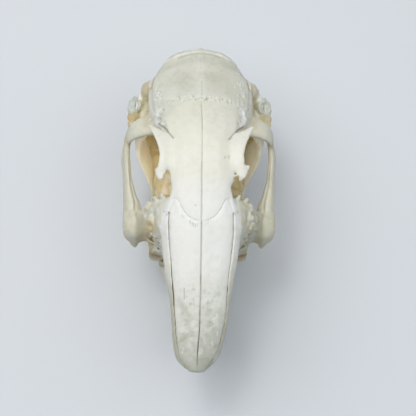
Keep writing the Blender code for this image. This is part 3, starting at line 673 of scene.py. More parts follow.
    def finish(self, look="dry_bone", slot="bone"):
        """Add the small marks, among them painted highlights and painted shade, store the colours and the
        painted glow, and hand the piece over.
        """
        for size, height in ((6.0, 0.10), (2.4, 0.045), (0.9, 0.016)):
            self.uneven(size, height)
        low = self.points.min(axis=0) - 0.5
        high = self.points.max(axis=0) + 0.5
        flat = self.points * FLATTER
        normals = self.normals()
        gloss = np.zeros(len(self.points)) + self.gloss
        for line, width, depth, color, weight, shine in marks():
            if not any((low <= p).all() and (p <= high).all() for p in line):
                continue
            line = line * FLATTER
            inside = (flat > line.min(axis=0) - width) & (flat < line.max(axis=0) + width)
            near = np.nonzero(inside.all(axis=1))[0]
            far = line_distance(flat[near], line) / width
            near, far = near[far < 1], far[far < 1]
            ease = ((1 - far ** 2) ** 2)[:, None]
            self.points[near] -= normals[near] * depth * ease
            self.color[near] += (np.array(getattr(colors(), color)) - self.color[near]) * ease * weight
            gloss[near] += ease[:, 0] * shine
        self.paint("suture", 0.62 * fade(self.line, 0.62, 0.95))
        mesh = self.obj.data
        values = np.ones((len(self.points), 4), np.float32)
        values[:, :3] = self.color
        mesh.color_attributes.new("paint", "FLOAT_COLOR", "POINT").data.foreach_set("color", values.ravel())
        # The last stored number is the painted glow, which the bone's material gives off as light
        for name, amount in (("wear", self.wear), ("gloss", gloss), ("painted_glow", self.painted_glow)):
            add_values(mesh, name, amount)
        mesh.materials.clear()
        mesh.materials.append(bone_material(look) if look in BONE_LOOKS else tooth_material(look))
        hand_over(self.obj, self.points, self.node)


def cad_copy(node, squeeze=None):
    """Mesh of a CAD node in skull millimetres, with its points changed by a function where one is given."""
    points, faces = CAD[node]
    if squeeze:
        points = squeeze(points.copy())
    bm = bmesh.new()
    corners = [bm.verts.new(p) for p in points]
    for face in faces:
        bm.faces.new([corners[i] for i in face])
    return bm


@cache
def skin():
    """Search tree of an even surface laid over all the joined bones, their sutures filled."""
    whole = bmesh.new()
    for node in CAD:
        if kind(node) in PARTNERS and kind(node) != "mandible":
            bm = cad_copy(node)
            bmesh.ops.recalc_face_normals(bm, faces=bm.faces[:])
            bm.normal_update()
            for v, shift in [(v, v.normal * min(v.calc_shell_factor(), 2.0) * SKIN_LIFT) for v in bm.verts]:
                v.co += shift
            part = mesh_from(bm, "part", outward=False)
            whole.from_mesh(part)
            bpy.data.meshes.remove(part)
    body = Sculpt("skin", whole, sizes().voxel * 1.1, outward=False)
    body.relax(60, 0.4)
    body.push(-SKIN_LIFT)
    body.store()
    mesh = body.obj.data
    found = BVHTree.FromPolygons([v.co for v in mesh.vertices], [p.vertices[:] for p in mesh.polygons])
    bpy.data.objects.remove(body.obj)
    bpy.data.meshes.remove(mesh)
    return found


def start_bone(node, bm=None, voxel=None):
    """Sculpt of a CAD node, evened out."""
    bone = Sculpt(node, bm or cad_copy(node), voxel or sizes().voxel)
    bone.relax()
    return bone


@cache
def marks():
    """Marks of the upper surface, among them painted highlights and painted shade; each a line, its width,
    depth, colour, the colour's weight and gloss.
    """
    found = []
    rng = np.random.default_rng(5)
    draw = rng.uniform
    bell = rng.normal

    def mark(line, width, depth, color="grey", weight=0.0, gloss=0.0):
        found.append((np.array(drape(line)), width, depth, color, weight, gloss))

    for _ in range(90):
        side = rng.choice((-1, 1))
        s = draw(3, 27)
        x = side * draw(0.7, 3.4 + 0.12 * s)
        turn = bell(0, 0.5)
        length = bell(0, 0.8)
        mark([(x, s), (x + turn * 0.5 + bell(0, 0.12), s + length * 0.5), (x + turn, s + length)],
             draw(0.18, 0.36), draw(0.02, 0.07), "grey", draw(0.1, 0.55) * float(1 - 0.85 * fade(s, 16, 22)))
    for _ in range(110):
        side = rng.choice((-1, 1))
        s = draw(2, 20)
        x = side * draw(0.6, 4.8)
        mark([(x, s), (x + bell(0, 0.4), s + bell(0, 0.4))], draw(0.3, 1.3),
             draw(-0.07, 0.06), rng.choice(("white", "grey")), draw(0.05, 0.45), 0.3)
    mark([(-4.3, 19.6), (-4.22, 18.2), (-4.25, 16.8)], 0.24, 0.07, "suture", 0.55)
    for x, s, weight in SNOUT_PATCHES:
        mark([(x, s), (x + 0.5, s - 0.9)], 1.4, 0.07, "grey", weight)
    # Painted highlights: glints on the snout
    for line in SNOUT_GLINTS:
        mark(line, draw(0.24, 0.4), -0.07, "white", draw(0.4, 0.8), 0.8)
    for x, s, weight in FRONTAL_TICKS:
        length = draw(0.25, 0.5)
        lean = draw(-0.12, 0.2)
        mark([(x, s - length), (x + lean, s + length)], 0.22, 0.07, "suture", weight)
    for stations, width, depth, color, weight in MIDDLE_LINES:
        mark([(0, s) for s in stations], width, depth, color, weight)
    # Coronal suture: raised bumps painted white as highlights, with dark suture dots between them
    for x in np.arange(-6.4, 7.9, 0.62):
        s = CORONAL + draw(-0.35, 0.55)
        mark([(x, s), (x + 0.1, s + 0.15)], 0.5, -0.26, "white", 0.9, 0.6)
        mark([(x + 0.31, s + draw(-0.6, 0.6)), (x + 0.35, s + 0.1)], 0.38, 0.2, "suture", draw(0.2, 0.8))
    for x, s in RIDGE_SPECKLES:
        mark([(x, s), (x, s + 0.2)], draw(0.35, 0.6), -0.2, "white", 0.8, 0.7)
        mark([(x + 0.45, s + 0.45), (x + 0.5, s + 0.6)], 0.34, 0.14, "suture", draw(0.25, 0.6))
    for line, width, depth, color, weight in FRONTAL_PITS:
        mark(line, width, depth, color, weight)
    for side, line in ROUGH_RIDGES.items():
        # Raised temporal line painted white as a highlight
        mark(line, 0.8, -0.12, "white", 0.8, 0.3)
        for (x, s), (x2, s2) in zip(line, line[1:]):
            for t in (0.2, 0.5, 0.8):
                x1, s1 = x + (x2 - x) * t + bell(0, 0.3), s + (s2 - s) * t + bell(0, 0.2)
                mark([(x1, s1), (x1 + 0.2, s1 + draw(-0.4, 0.4))], draw(0.3, 0.55),
                     draw(-0.2, 0.12), "white", 0.8, 0.3)
                mark([(x1 - side * draw(0.5, 1.1), s1 + bell(0, 0.3)),
                      (x1 - side * draw(0.6, 1.3), s1 + bell(0, 0.3))],
                     draw(0.2, 0.4), 0.14, "suture", draw(0.1, 0.5))
        for _ in range(12):
            x, s = line[rng.integers(0, 3)]
            x += side * draw(0.2, 1.6)
            s += bell(0, 0.9)
            mark([(x, s), (x + bell(0, 0.2), s + bell(0, 0.3))], draw(0.2, 0.45),
                 draw(-0.1, 0.12), rng.choice(("white", "white", "grey")), draw(0.4, 0.9), 0.2)
    # Painted highlights on the raised bumps of the temporal lines
    mark([(11.2, 67.6), (11.7, 66.6), (12.0, 65.6)], 1.3, -0.22, "white", 0.9, 0.2)
    mark([(-12.0, 68.6), (-12.2, 67.4)], 1.1, -0.10, "white", 0.8, 0.2)
    for side in (-1, 1):
        # Painted shade in the slit under each wing's rear edge
        mark(mirrored(WING_SLIT[side], side), 0.42, 0.34, "suture", 0.85)
        # Side rims, with their painted highlight and painted shade
        for line, width, depth, color, weight in RIM_LINES:
            mark(mirrored(line, side), width, depth, color, weight)
    rear = np.arange(-10.8, 10.9, 1.2)
    # Raised rear crest painted white as a highlight, and grey bands in front of it painted as shade on the
    # slope
    mark([(x, 85.6 + 0.004 * x * x) for x in rear], 0.7, -0.2, "white", 0.6, 0.4)
    mark([(x, 84.6 + 0.004 * x * x) for x in rear], 0.5, 0.10, "grey", 0.7)
    mark([(x, 83.2) for x in rear[1:-1]], 1.5, 0.10, "grey", 0.4)
    return found


# Materials


class Value:
    """A socket's value, on which the usual operators add their Math nodes."""

    def __init__(self, tree, socket):
        self.tree = tree
        self.socket = socket

    def math(self, operation, other, swapped=False):
        node = self.tree.nodes.new("ShaderNodeMath")
        node.operation = operation
        for i, value in enumerate((other, self) if swapped else (self, other)):
            if isinstance(value, Value):
                self.tree.links.new(value.socket, node.inputs[i])
            else:
                node.inputs[i].default_value = value
        return Value(self.tree, node.outputs[0])

    def __add__(self, other):
        return self.math("ADD", other)

    __radd__ = __add__

    def __mul__(self, other):
        return self.math("MULTIPLY", other)

    __rmul__ = __mul__

    def __sub__(self, other):
        return self.math("SUBTRACT", other)

    def __rsub__(self, other):
        return self.math("SUBTRACT", other, swapped=True)

    def __pow__(self, other):
        return self.math("POWER", other)

    def clamped(self):
        """The value held between 0 and 1."""
        return self.math("MAXIMUM", 0.0).math("MINIMUM", 1.0)


class Nodes:
    """A node tree while it is built."""

    def __init__(self, tree):
        self.tree = tree

    def node(self, kind, settings=None, inputs=None, output=0):
        """Add a node, with its settings first and then its sockets' values or links, and give its output."""
        node = self.tree.nodes.new(kind)
        for key, value in (settings or {}).items():
            setattr(node, key, value)
        for key, value in (inputs or {}).items():
            self.feed(node.inputs[key], value)
        return Value(self.tree, node.outputs[output])

    def feed(self, socket, value):
        """Link a value to a socket, or set it."""
        if isinstance(value, Value):
            self.tree.links.new(value.socket, socket)
        else:
            socket.default_value = value


class Finish(Nodes):
    """One material while it is built."""

    def __init__(self, name):
        self.material = bpy.data.materials.new(name)
        self.material.use_nodes = True
        super().__init__(self.material.node_tree)
        self.shader = self.tree.nodes["Principled BSDF"]
        self.place = self.node("ShaderNodeTexCoord", output="Object")

    def read(self, name, output="Fac"):
        """Values stored on the points under a name."""
        return self.node("ShaderNodeAttribute", {"attribute_name": name}, output=output)

    def mix(self, factor, a, b, way="MIX"):
        """Blend of two colours."""
        a, b = (c if isinstance(c, Value) else (*c, 1.0) for c in (a, b))
        return self.node("ShaderNodeMix", {"data_type": "RGBA", "blend_type": way},
                         {0: factor, 6: a, 7: b}, 2)

    def noise(self, size_mm, detail=2.0, roughness=0.5, scale=(1.0, 1.0, 1.0)):
        """Noise with features of a size in millimetres, squeezed along the axes by a scale."""
        place = self.place
        if scale != (1.0, 1.0, 1.0):
            place = self.node("ShaderNodeMapping", {"vector_type": "POINT"},
                              {"Vector": place, "Scale": scale})
        return self.node("ShaderNodeTexNoise", {}, {"Vector": place, "Scale": 1000.0 / size_mm,
                                                    "Detail": detail, "Roughness": roughness})

    def done(self, color, roughness, height, distance, strength, **constants):
        """Feed the shader."""
        bump = self.node("ShaderNodeBump", {}, {"Height": height, "Distance": distance, "Strength": strength})
        for key, value in (("Base Color", color), ("Roughness", roughness), ("Normal", bump)):
            self.feed(self.shader.inputs[key], value)
        for key, value in constants.items():
            self.shader.inputs[key.replace("_", " ")].default_value = value
        return self.material


def bone_material(name):
    """Dry bone in its painted colours, mottled, with specks, pores and fine lengthwise lines, and a painted
    glow where glow values are stored.
    """
    made = bpy.data.materials.get(name)
    if made:
        return made
    f = Finish(name)
    color = f.read("paint", "Color")
    wear = f.read("wear")
    broad = f.noise(6.0, 3.0)
    mottle = f.noise(1.5, 4.0, 0.6)
    fine = f.noise(0.4, 3.0, 0.6)
    streaks = f.noise(0.7, 3.0, 0.55, (3.2, 0.45, 1.0))
    pores = f.node("ShaderNodeTexVoronoi", {"feature": "F1"}, {"Vector": f.place, "Scale": 1100.0},
                   "Distance")
    patches = ((mottle - 0.46) * 2.6 + (broad - 0.5) * 2.0).clamped() * (0.12 + 0.75 * wear)
    color = f.mix(patches, color, (0.74, 0.76, 0.68), "MULTIPLY")
    lines = ((streaks - 0.55) * 3.0).clamped() * (0.05 + 0.35 * wear)
    color = f.mix(lines, color, (0.72, 0.72, 0.68), "MULTIPLY")
    specks = ((0.17 - pores) * 9.0).clamped() * ((broad - 0.52) * 9.0).clamped()
    color = f.mix(specks * 0.38, color, (0.60, 0.54, 0.42), "MULTIPLY")
    # Painted glow: the paint colour is given off as light, as much as the stored glow values say
    f.feed(f.shader.inputs["Emission Color"], f.mix(f.read("painted_glow"), (0.0, 0.0, 0.0), color))
    height = fine * 0.35 + mottle * 0.5 + streaks * (0.2 + 0.9 * wear) - specks * 0.8
    rough = (0.50 + 0.20 * (mottle - 0.5) + 0.10 * wear - 0.26 * f.read("gloss")).clamped()
    glow, depth = BONE_LOOKS[name]
    return f.done(color, rough, height, 0.00016, 0.6, Subsurface_Weight=glow, Subsurface_Scale=depth,
                  Subsurface_Radius=(1.0, 0.75, 0.45), Specular_IOR_Level=0.45, Emission_Strength=1.0)


def tooth_material(name):
    """Tooth with a soft gloss, fine lengthwise lines and brown in its grooves."""
    made = bpy.data.materials.get(name)
    if made:
        return made
    base = np.multiply(colors().enamel, TOOTH_TINTS[name])
    f = Finish(name)
    broad = f.noise(2.4, 3.0)
    lines = f.noise(0.6, 3.0, 0.6, (3.0, 3.0, 0.35))
    color = f.mix((f.read("wear") * (0.5 + 0.9 * lines)).clamped(), tuple(base), tuple(colors().cement))
    color = f.mix(((broad - 0.5) * 1.4).clamped(), color, tuple(base * (0.86, 0.78, 0.62)))
    return f.done(color, 0.26 + 0.26 * lines, lines * 0.6 + broad * 0.3, 0.00008, 0.4, Coat_Weight=0.15,
                  Subsurface_Weight=0.08, Subsurface_Scale=0.0008)


# Repeats made by Geometry Nodes


class Repeat(Nodes):
    """A geometry tree with named inputs while it is built. Its last input is the material."""

    def __init__(self, name, inputs):
        super().__init__(bpy.data.node_groups.new(name, "GeometryNodeTree"))
        new_socket = self.tree.interface.new_socket
        new_socket("Geometry", in_out="INPUT", socket_type="NodeSocketGeometry")
        for label, sort, value in inputs:
            socket = new_socket(label, in_out="INPUT", socket_type="NodeSocket" + sort)
            if value is not None:
                socket.default_value = value
        new_socket("Material", in_out="INPUT", socket_type="NodeSocketMaterial")
        new_socket("Geometry", in_out="OUTPUT", socket_type="NodeSocketGeometry")
        self.inputs = self.tree.nodes.new("NodeGroupInput").outputs

    def given(self, name):
        """Value of a named input."""
        return Value(self.tree, self.inputs[name])

    def done(self, shape):
        """End the tree in plain geometry with its material."""
        plain = self.node("GeometryNodeRealizeInstances", {}, {"Geometry": shape})
        dressed = self.node("GeometryNodeSetMaterial", {},
                            {"Geometry": plain, "Material": self.given("Material")})
        self.feed(self.tree.nodes.new("NodeGroupOutput").inputs["Geometry"], dressed)
        return self.tree


def run_group(obj, tree, values):
    """Mesh that a geometry tree makes of an object, with the tree's named inputs set."""
    step = obj.modifiers.new(tree.name, "NODES")
    step.node_group = tree
    for item in tree.interface.items_tree:
        if item.item_type == "SOCKET" and item.in_out == "INPUT" and item.name in values:
            step[item.identifier] = values[item.name]
    return applied(obj, step)


def bar_tree():
    """Geometry tree that turns the edges of a net into round bars of uneven thickness."""
    t = Repeat("Lattice bars", (("Bar Radius", "Float", 0.3), ("Unevenness", "Float", 0.35),
                                ("Seed", "Int", 3)))
    split = t.node("GeometryNodeSplitEdges", {}, {"Mesh": t.given("Geometry")})
    curve = t.node("GeometryNodeMeshToCurve", {}, {"Mesh": split})
    curve = t.node("GeometryNodeResampleCurve", {}, {"Curve": curve, "Count": 5})
    circle = t.node("GeometryNodeCurvePrimitiveCircle", {}, {"Resolution": 8, "Radius": 1.0})
    uneven = t.given("Unevenness")
    chance = t.node("FunctionNodeRandomValue", {"data_type": "FLOAT"},
                    {2: 1.0 - uneven, 3: 1.0 + uneven, "Seed": t.given("Seed")}, 1)
    return t.done(t.node("GeometryNodeCurveToMesh", {}, {
        "Curve": curve, "Profile Curve": circle, "Scale": t.given("Bar Radius") * chance, "Fill Caps": True}))


def row_tree():
    """Geometry tree that sets a copy of a tooth on each point of a row, at the point's own size."""
    t = Repeat("Tooth row", (("Tooth", "Object", None),))
    tooth = t.node("GeometryNodeObjectInfo", {}, {"Object": t.given("Tooth")}, "Geometry")
    size = t.node("GeometryNodeInputNamedAttribute", {"data_type": "FLOAT_VECTOR"}, {"Name": "size"},
                  "Attribute")
    return t.done(t.node("GeometryNodeInstanceOnPoints", {}, {
        "Points": t.given("Geometry"), "Instance": tooth, "Scale": size}))


def lattice_net(node, side, cell):
    """Uneven net of edges laid on the side wall of the snout, as points and pairs."""
    wall = cad_tree([node])
    rng = np.random.default_rng(11 if side > 0 else 12)
    front, back, low, high = LATTICE_REACH
    step = cell * 0.87
    points = {}
    for j in range(int((high - low) / step) + 1):
        for i in range(int((back - front) / cell) + 1):
            s = front + (i + 0.5 * (j % 2)) * cell + rng.uniform(-0.34, 0.34) * cell
            h = low + j * step + rng.uniform(-0.34, 0.34) * cell
            hit = wall.ray_cast(Vector((side * OUTSIDE, s, h)), Vector((-side, 0, 0)), 9.0)
            if hit[0] is not None and abs(hit[1].x) > 0.35:
                points[i, j] = np.array(hit[0]) - np.array((side * 0.15, 0, 0))
    index = {key: n for n, key in enumerate(points)}
    pairs = []
    for (i, j) in points:
        shift = j % 2
        for other in ((i + 1, j), (i + shift, j + 1), (i + shift - 1, j + 1)):
            if other in index and rng.uniform() < 0.80:
                pairs.append((index[i, j], index[other]))
    return list(points.values()), pairs


def lattice_bars(node, side):
    """Bars of the cheek lattice as a mesh in skull millimetres."""
    points, pairs = lattice_net(node, side, sizes().lattice_cell * 1000)
    mesh = bpy.data.meshes.new("net")
    mesh.from_pydata([tuple(p) for p in points], pairs, [])
    net = add_object("net", mesh)
    made = run_group(net, bar_tree(), {"Bar Radius": sizes().lattice_bar * 1000, "Seed": 3,
                                       "Material": bone_material("dry_bone")})
    bpy.data.objects.remove(net)
    return made


def crown(around=40, levels=14):
    """One cheek tooth of unit size: columns with deep folds between them, ridged at the biting end."""
    bm = bmesh.new()
    new = bm.verts.new
    loops = []
    for k in range(levels + 1):
        h = k / levels
        grow = 1 - 0.10 * fade(h, 0.82, 1.0)
        loop = []
        for i in range(around):
            angle = math.tau * i / around
            c, s = math.cos(angle), math.sin(angle)
            y = math.copysign(abs(s) ** 0.62, s)
            x = math.copysign(abs(c) ** 0.75, c) * (1 - 0.34 * math.exp(-(y / 0.16) ** 2))
            loop.append(new((x * 0.5 * grow, y * 0.5 * grow, h)))
        loops.append(loop)

    def join(one, two):
        for i in range(around):
            j = (i + 1) % around
            bm.faces.new((one[i], one[j], two[j], two[i]))

    for one, two in zip(loops, loops[1:]):
        join(one, two)
    for rim, biting in ((loops[0], 0), (loops[-1], 1)):
        inner = rim
        for scale in (0.86, 0.66, 0.4):
            ring = []
            for v in rim:
                drop = -0.05 if scale == 0.86 else -0.12 - 0.05 * math.cos(v.co.y * 26)
                ring.append(new((v.co.x * scale, v.co.y * scale, v.co.z + drop * biting)))
            join(inner, ring)
            inner = ring
        middle = new((0, 0, inner[0].co.z))
        for i in range(around):
            bm.faces.new((inner[i], inner[(i + 1) % around], middle))
    return mesh_from(bm, "crown")


def tooth_row(name, teeth, side, root, tip, replaced):
    """One row of cheek teeth on one side, from inside the bone to the biting end."""
    pattern = add_object("pattern", crown())
    mesh = bpy.data.meshes.new(name)
    mesh.from_pydata([((outer - width / 2) * side, s, root) for s, length, outer, width in teeth], [], [])
    size = mesh.attributes.new("size", "FLOAT_VECTOR", "POINT")
    size.data.foreach_set("vector", [v for s, length, outer, width in teeth
                                     for v in (width * 1.02, length, tip - root)])
    row = add_object(name, mesh)
    made = run_group(row, row_tree(), {"Tooth": pattern, "Material": tooth_material("cheek_tooth")})
    bpy.data.objects.remove(pattern)
    row.data = made
    bpy.data.meshes.remove(mesh)
    points = places(made)
    points[:, :2] += 0.05 * np.stack([noise(points, 1.3, 3), noise(points, 1.5, 8)], axis=1)
    bm = bmesh.new()
    bm.from_mesh(made)
    for v, p in zip(bm.verts, points):
        v.co = p
    bmesh.ops.recalc_face_normals(bm, faces=bm.faces[:])
    bm.to_mesh(made)
    bm.free()
    add_values(made, "wear", 0.15 + 0.75 * fade(np.abs(points[:, 2] - tip), 1.0, abs(tip - root) - 1.5))
    hand_over(row, points, replaced)


# Bones


def shape_nasals():
    """Two long bones on top of the snout, bright at the back and worn towards their tips, with painted shade
    on the right one.
    """
    for word, side in SIDES.items():
        bone = start_bone(f"nasal_{word}", voxel=sizes().roof_voxel * 0.92)
        bone.ready(0.00006)
        x, s = bone.points.T[:2]
        bone.paint("white", 0.8 * fade(s, 16, 27))
        # Grey towards the tips is wear together with painted shade; the right bone gets more grey and a
        # bluish glassy tint as painted shade
        worn = 0.62 * fade(s, 12, -1) + (0.38 if side > 0 else 0.10) * fade(s, 24, 9)
        bone.paint("grey", worn + 0.12 * noise(bone.points, 3, 5) * fade(s, 22, 14))
        bone.paint("glassy", 0.25 * fade(side * x, 3, 6) * fade(s, 30, 10) * (side > 0))
        bone.wear = 0.15 + 0.75 * fade(s, 30, 8)
        bone.gloss = 0.25
        bone.finish()


def shape_premaxillae():
    """Front of the snout with the sockets of the front teeth, and the strips beside the nasal bones."""
    for word, side in SIDES.items():
        bone = start_bone(f"premaxilla_{word}")
        bone.ready()
        for s, h, radius in ((9.5, 33.5, 0.5), (11.2, 31.6, 0.35), (7.6, 30.2, 0.4), (13.0, 35.0, 0.3)):
            bone.dent((side * 7.4, s, h), radius + 1.2, 0.35)
        s, h = bone.points.T[1:]
        bone.paint("cream", 0.35 - 0.1 * fade(h, 40, 46))
        bone.paint("ochre", 0.18 * fade(h, 36, 27))
        bone.paint("grey", 0.75 * fade(s, 27, 14))
        bone.paint("olive", 0.22 * fade(s, 24, 12))
        bone.paint("white", 0.9 * fade(s, 24, 31) * fade(h, 36, 40))
        bone.wear = 0.3 + 0.25 * fade(h, 36, 27)
        bone.finish()


def shape_frontals():
    """Roof between the eyes, with the wings over them and their knobbed front lobes."""
    knobs = {"left": ((-11.6, 50.2, 0.85), (-11.4, 49.2, 0.95), (-10.9, 48.2, 0.8), (-10.4, 49.6, 0.9)),
             "right": ((12.0, 51.2, 0.95), (11.6, 50.0, 0.9), (11.1, 48.9, 0.85), (10.2, 49.4, 0.85))}
    notch = {"left": ((-9.5, 45.9, 1.05), (-9.5, 47.2, 0.95), (-9.3, 48.6, 0.75), (-9.1, 49.8, 0.5)),
             "right": ((9.8, 45.9, 0.95), (9.7, 47.0, 0.8), (9.3, 48.3, 0.6), (9.0, 49.5, 0.42))}
    for word, side in SIDES.items():
        node = f"frontal_{word}"
        bm = cad_copy(node)
        for x, s, r in knobs[word]:
            egg(bm, (x, s, 52.3), (r, r, 0.8))
        for s, h in ((36.6, 51.6), (70.9, 50.9)):
            egg(bm, (side * 0.3, s, h), (0.6, 0.6, 0.5))
        bone = Sculpt(node, bm, sizes().roof_voxel)
        tool = bmesh.new()
        for x, s, r in notch[word]:
            egg(tool, (x, s, 52.0), (r, r, 3.0))
        bone.cut(tool, sizes().roof_voxel)
        bone.relax()
        bone.ready(0.00012)
        x, s, h = bone.points.T
        flat = (fade(side * x, 4.2, 5.6) * fade(side * x, 9.8, 8.6) * fade(s, 43, 47) * fade(s, 61, 58)
                * fade(h, 49, 50.5))
        bone.smooth(160, flat)
        x, s, h = bone.points.T
        wing = fade(side * x, 7.0, 9.0) * fade(s, 63.5, 61) * fade(h, 49, 51)
        rear = fade(s, 60, 66)
        bone.paint("white", 0.6 * fade(s, 52, 42) * fade(h, 49, 51))
        bone.paint("cream", (0.34 + 0.12 * noise(bone.points, 5, 3)) * fade(s, 40, 56) * fade(h, 49, 51))
        bone.paint("grey", 0.16 * fade(s, 56, 68) + 0.2 * rear * fade(h, 52, 49))
        bone.paint("white", 0.25 * wing)
        bone.paint("ochre", 0.8 * fade(h, 49.5, 45) * fade(s, 66, 62) * fade(s, 44, 47))
        bone.wear = 0.14 + 0.2 * rear
        bone.gloss = 0.1 + 0.15 * wing
        bone.finish()


def shape_parietals():
    """Broad rear roof of the braincase, with a bumpy edge along the coronal suture."""
    for word, side in SIDES.items():
        bone = start_bone(f"parietal_{word}", voxel=sizes().roof_voxel)
        bone.ready()
        x, s = bone.points.T[:2]
        blotch = np.exp(-((side * x - 5.0) / 4.0) ** 2 - ((s - 78.5) / 4.5) ** 2)
        # The extra grey on the right bone is painted shade; the blotches are worn patches
        bone.paint("grey", 0.30 + 0.34 * blotch + 0.12 * noise(bone.points, 4, 3) + 0.12 * (side > 0))
        bone.paint("cream", 0.2 + 0.1 * noise(bone.points, 6, 8))
        bone.paint("bone", 0.22 * fade(np.abs(x), 1.6, 0.2))
        bone.wear = 0.45 + 0.2 * blotch
        bone.finish()


def shape_occipital():
    """Back of the skull with its crest, the opening of the spinal cord and the two joints beside it."""
    bone = start_bone("occipital")
    bone.ready()
    crest = [(x, 87.4 - 0.032 * x * x, 42.9 - 0.008 * x * x) for x in np.linspace(-11, 11, 12)]
    bone.crest(crest, 1.3, 0.35)
    bone.crest([(0, 89.2, 41.6), (0, 90.0, 38.6)], 1.2, 0.5)
    bone.uneven(2.0, 0.08)
    bone.paint("cream", 0.4)
    bone.paint("grey", 0.36)
    bone.paint("ochre", 0.22 * fade(bone.points[:, 2], 38, 28))
    bone.wear = 0.5
    bone.finish()


def shape_temporals():
    """Sides of the braincase, with the bar out to the arch, the jaw's joint and the ear's spongy knob."""
    rng = np.random.default_rng(21)
    for word, side in SIDES.items():
        node = f"temporal_{word}"
        bm = cad_copy(node)
        egg(bm, (side * 14.6, 68.6, 31.5), (4.8, 2.6, 7.0))
        tube(bm, mirrored(((18.4, 64.6, 38.8), (16.4, 65.4, 38.2), (14.6, 65.8, 36.6), (12.8, 65.2, 34.6),
                           (11.2, 64.0, 32.6)), side), (0.7, 1.1, 1.6, 2.0, 2.2))
        egg(bm, (side * 18.5, 70.5, 36.7), (1.9, 2.2, 1.0))
        egg(bm, (side * 18.9, 68.4, 37.4), (1.4, 2.0, 0.9))
        egg(bm, (side * 15.4, 72.8, 35.2), (2.4, 5.6, 2.7))
        strip = mirrored(((16.2, 77.8, 36.9), (17.0, 75.8, 37.4), (17.6, 74.0, 37.6), (17.9, 72.0, 37.5),
                          (18.3, 70.4, 37.6), (18.6, 68.9, 38.0)), side)
        tube(bm, strip, (0.9, 0.8, 0.7, 0.6, 0.55, 0.6))
        for _ in range(16):
            egg(bm, (side * rng.uniform(14.4, 15.8), rng.uniform(75, 80), rng.uniform(33, 38)),
                [rng.uniform(0.5, 1.0)] * 3)
        for x, s, h in strip[:5]:
            for _ in range(3):
                egg(bm, (x + rng.normal(0, 0.3), s + rng.normal(0, 0.6), h + 0.2),
                    [rng.uniform(0.3, 0.6)] * 3)
        bone = start_bone(node, bm, sizes().fine_voxel * 1.15)
        bone.ready()
        bone.crumple(3.0, 0.35, fade(bone.points[:, 1], 62, 64) * fade(bone.points[:, 2], 40, 37))
        for _ in range(34):
            bone.dent((side * rng.uniform(13.5, 17), rng.uniform(70, 80.5), rng.uniform(31, 40)),
                      rng.uniform(0.5, 1.1), rng.uniform(0.12, 0.3))
        x, s, h = bone.points.T
        out = np.abs(x)
        knob = fade(s, 73.5, 76) * fade(out, 12.8, 14)
        fan_shade = fade(s, 67.8, 68.8) * fade(s, 73.2, 72.0) * fade(out, 16.2, 17.0) * fade(h, 39.4, 38.6)
        strip = fade(line_distance(bone.points, strip), 1.3, 0.7) * fade(s, 71.4, 72.6)
        groove = (fade(np.abs(out - 16.6 + 0.35 * (s - 74)), 1.1, 0.4) * fade(s, 68, 70) * fade(s, 77, 75)
                  * (1 - strip))
        inner = np.exp(-((out - 14.7) / 1.7) ** 2 - ((s - 66.6) / 2.6) ** 2)
        rich = 1.0 if side < 0 else 0.5
        joint = fade(h, 41.0, 38.5) * fade(s, 69, 67.5) * fade(out, 10, 11)
        bar = fade(out, 13, 15) * fade(h, 38.5, 40)
        bone.paint("cream", 0.45)
        bone.paint("grey", 0.35)
        bone.paint("tan", 0.3 * bar * fade(out, 18, 15))
        bone.paint("tan", 0.5 * inner)
        bone.paint("olive", 0.65 * inner)
        bone.paint("ochre", 0.50 * knob * rich)
        bone.paint("olive", 0.20 * knob * rich)
        # Painted shade on the hollow fan behind the bar, stronger on the left
        bone.paint("ochre", 0.8 * fan_shade * rich)
        bone.paint("olive", 0.75 * fan_shade * rich * fade(noise(bone.points, 1.6, 6), -0.6, 0.2))
        bone.paint("olive", 0.6 * groove)
        bone.paint("ochre", 0.3 * groove * rich)
        bone.paint("white", 0.85 * strip * fade(noise(bone.points, 1.1, 4), -0.6, 0.0))
        bone.paint("amber", 0.35 * fan_shade * rich)
        # Painted shade under the front of the bar, with a painted glow there, stronger on the left
        bone.paint("ochre", 0.9 * joint)
        bone.paint("amber", 0.6 * joint * fade(bone.blocked, 0.2, 0.5))
        glow = (0.13 if side < 0 else 0.04) * joint * fade(h, 30, 33) * fade(bone.blocked, 0.1, 0.4)
        bone.painted_glow = np.maximum(bone.painted_glow, glow)
        bone.wear = 0.4
        bone.finish()


def cheek(bone, side):
    """Crease, ridge and colours that run on from the arch under the eye to the plate before it."""
    crease = drape(mirrored(((19.3, 62.0), (19.2, 58.0), (19.05, 54.0), (18.8, 50.3), (18.3, 48.0),
                             (17.8, 45.8), (17.5, 43.6), (17.3, 41.4), (17.2, 39.6)), side))
    crease = [(x, s, max(h, 37.6)) for x, s, h in crease]
    bone.crest(crease, 0.62, -0.26)
    bone.crest(mirrored(((18.9, 44.0, 39.2), (18.6, 40.0, 39.6), (18.2, 36.6, 38.6)), side), 2.2, 0.25)
    x, s, h = bone.points.T
    out = np.abs(x)
    inner = fade(out, 18.0, 16.6) * fade(s, 46, 43)
    bone.paint("cream", 0.5)
    bone.paint("grey", 0.5)
    bone.paint("tan", 0.22)
    bone.paint("glassy", 0.35 * fade(s, 40, 43) * fade(out, 18.4, 16.0) * fade(s, 58, 52))
    bone.paint("olive", 0.75 * inner * fade(s, 42.5, 38.5))
    bone.paint("ochre", 0.35 * inner * fade(h, 42, 36))
    # Painted shade along the crease: a dark line in it, olive further back
    seen = fade(1 - line_distance(bone.points, crease) / 0.7, 0.25, 0.8)
    bone.paint("suture", 0.55 * seen * fade(s, 58, 50) * fade(s, 39.6, 42))
    bone.paint("olive", 0.35 * seen * fade(s, 50, 58))
    # Painted glow on the left cheek plate
    if side < 0:
        clear = np.exp(-((out - 16.3) / 1.6) ** 2 - ((s - 44.2) / 3.0) ** 2)
        bone.painted_glow = np.maximum(bone.painted_glow, 0.14 * clear)


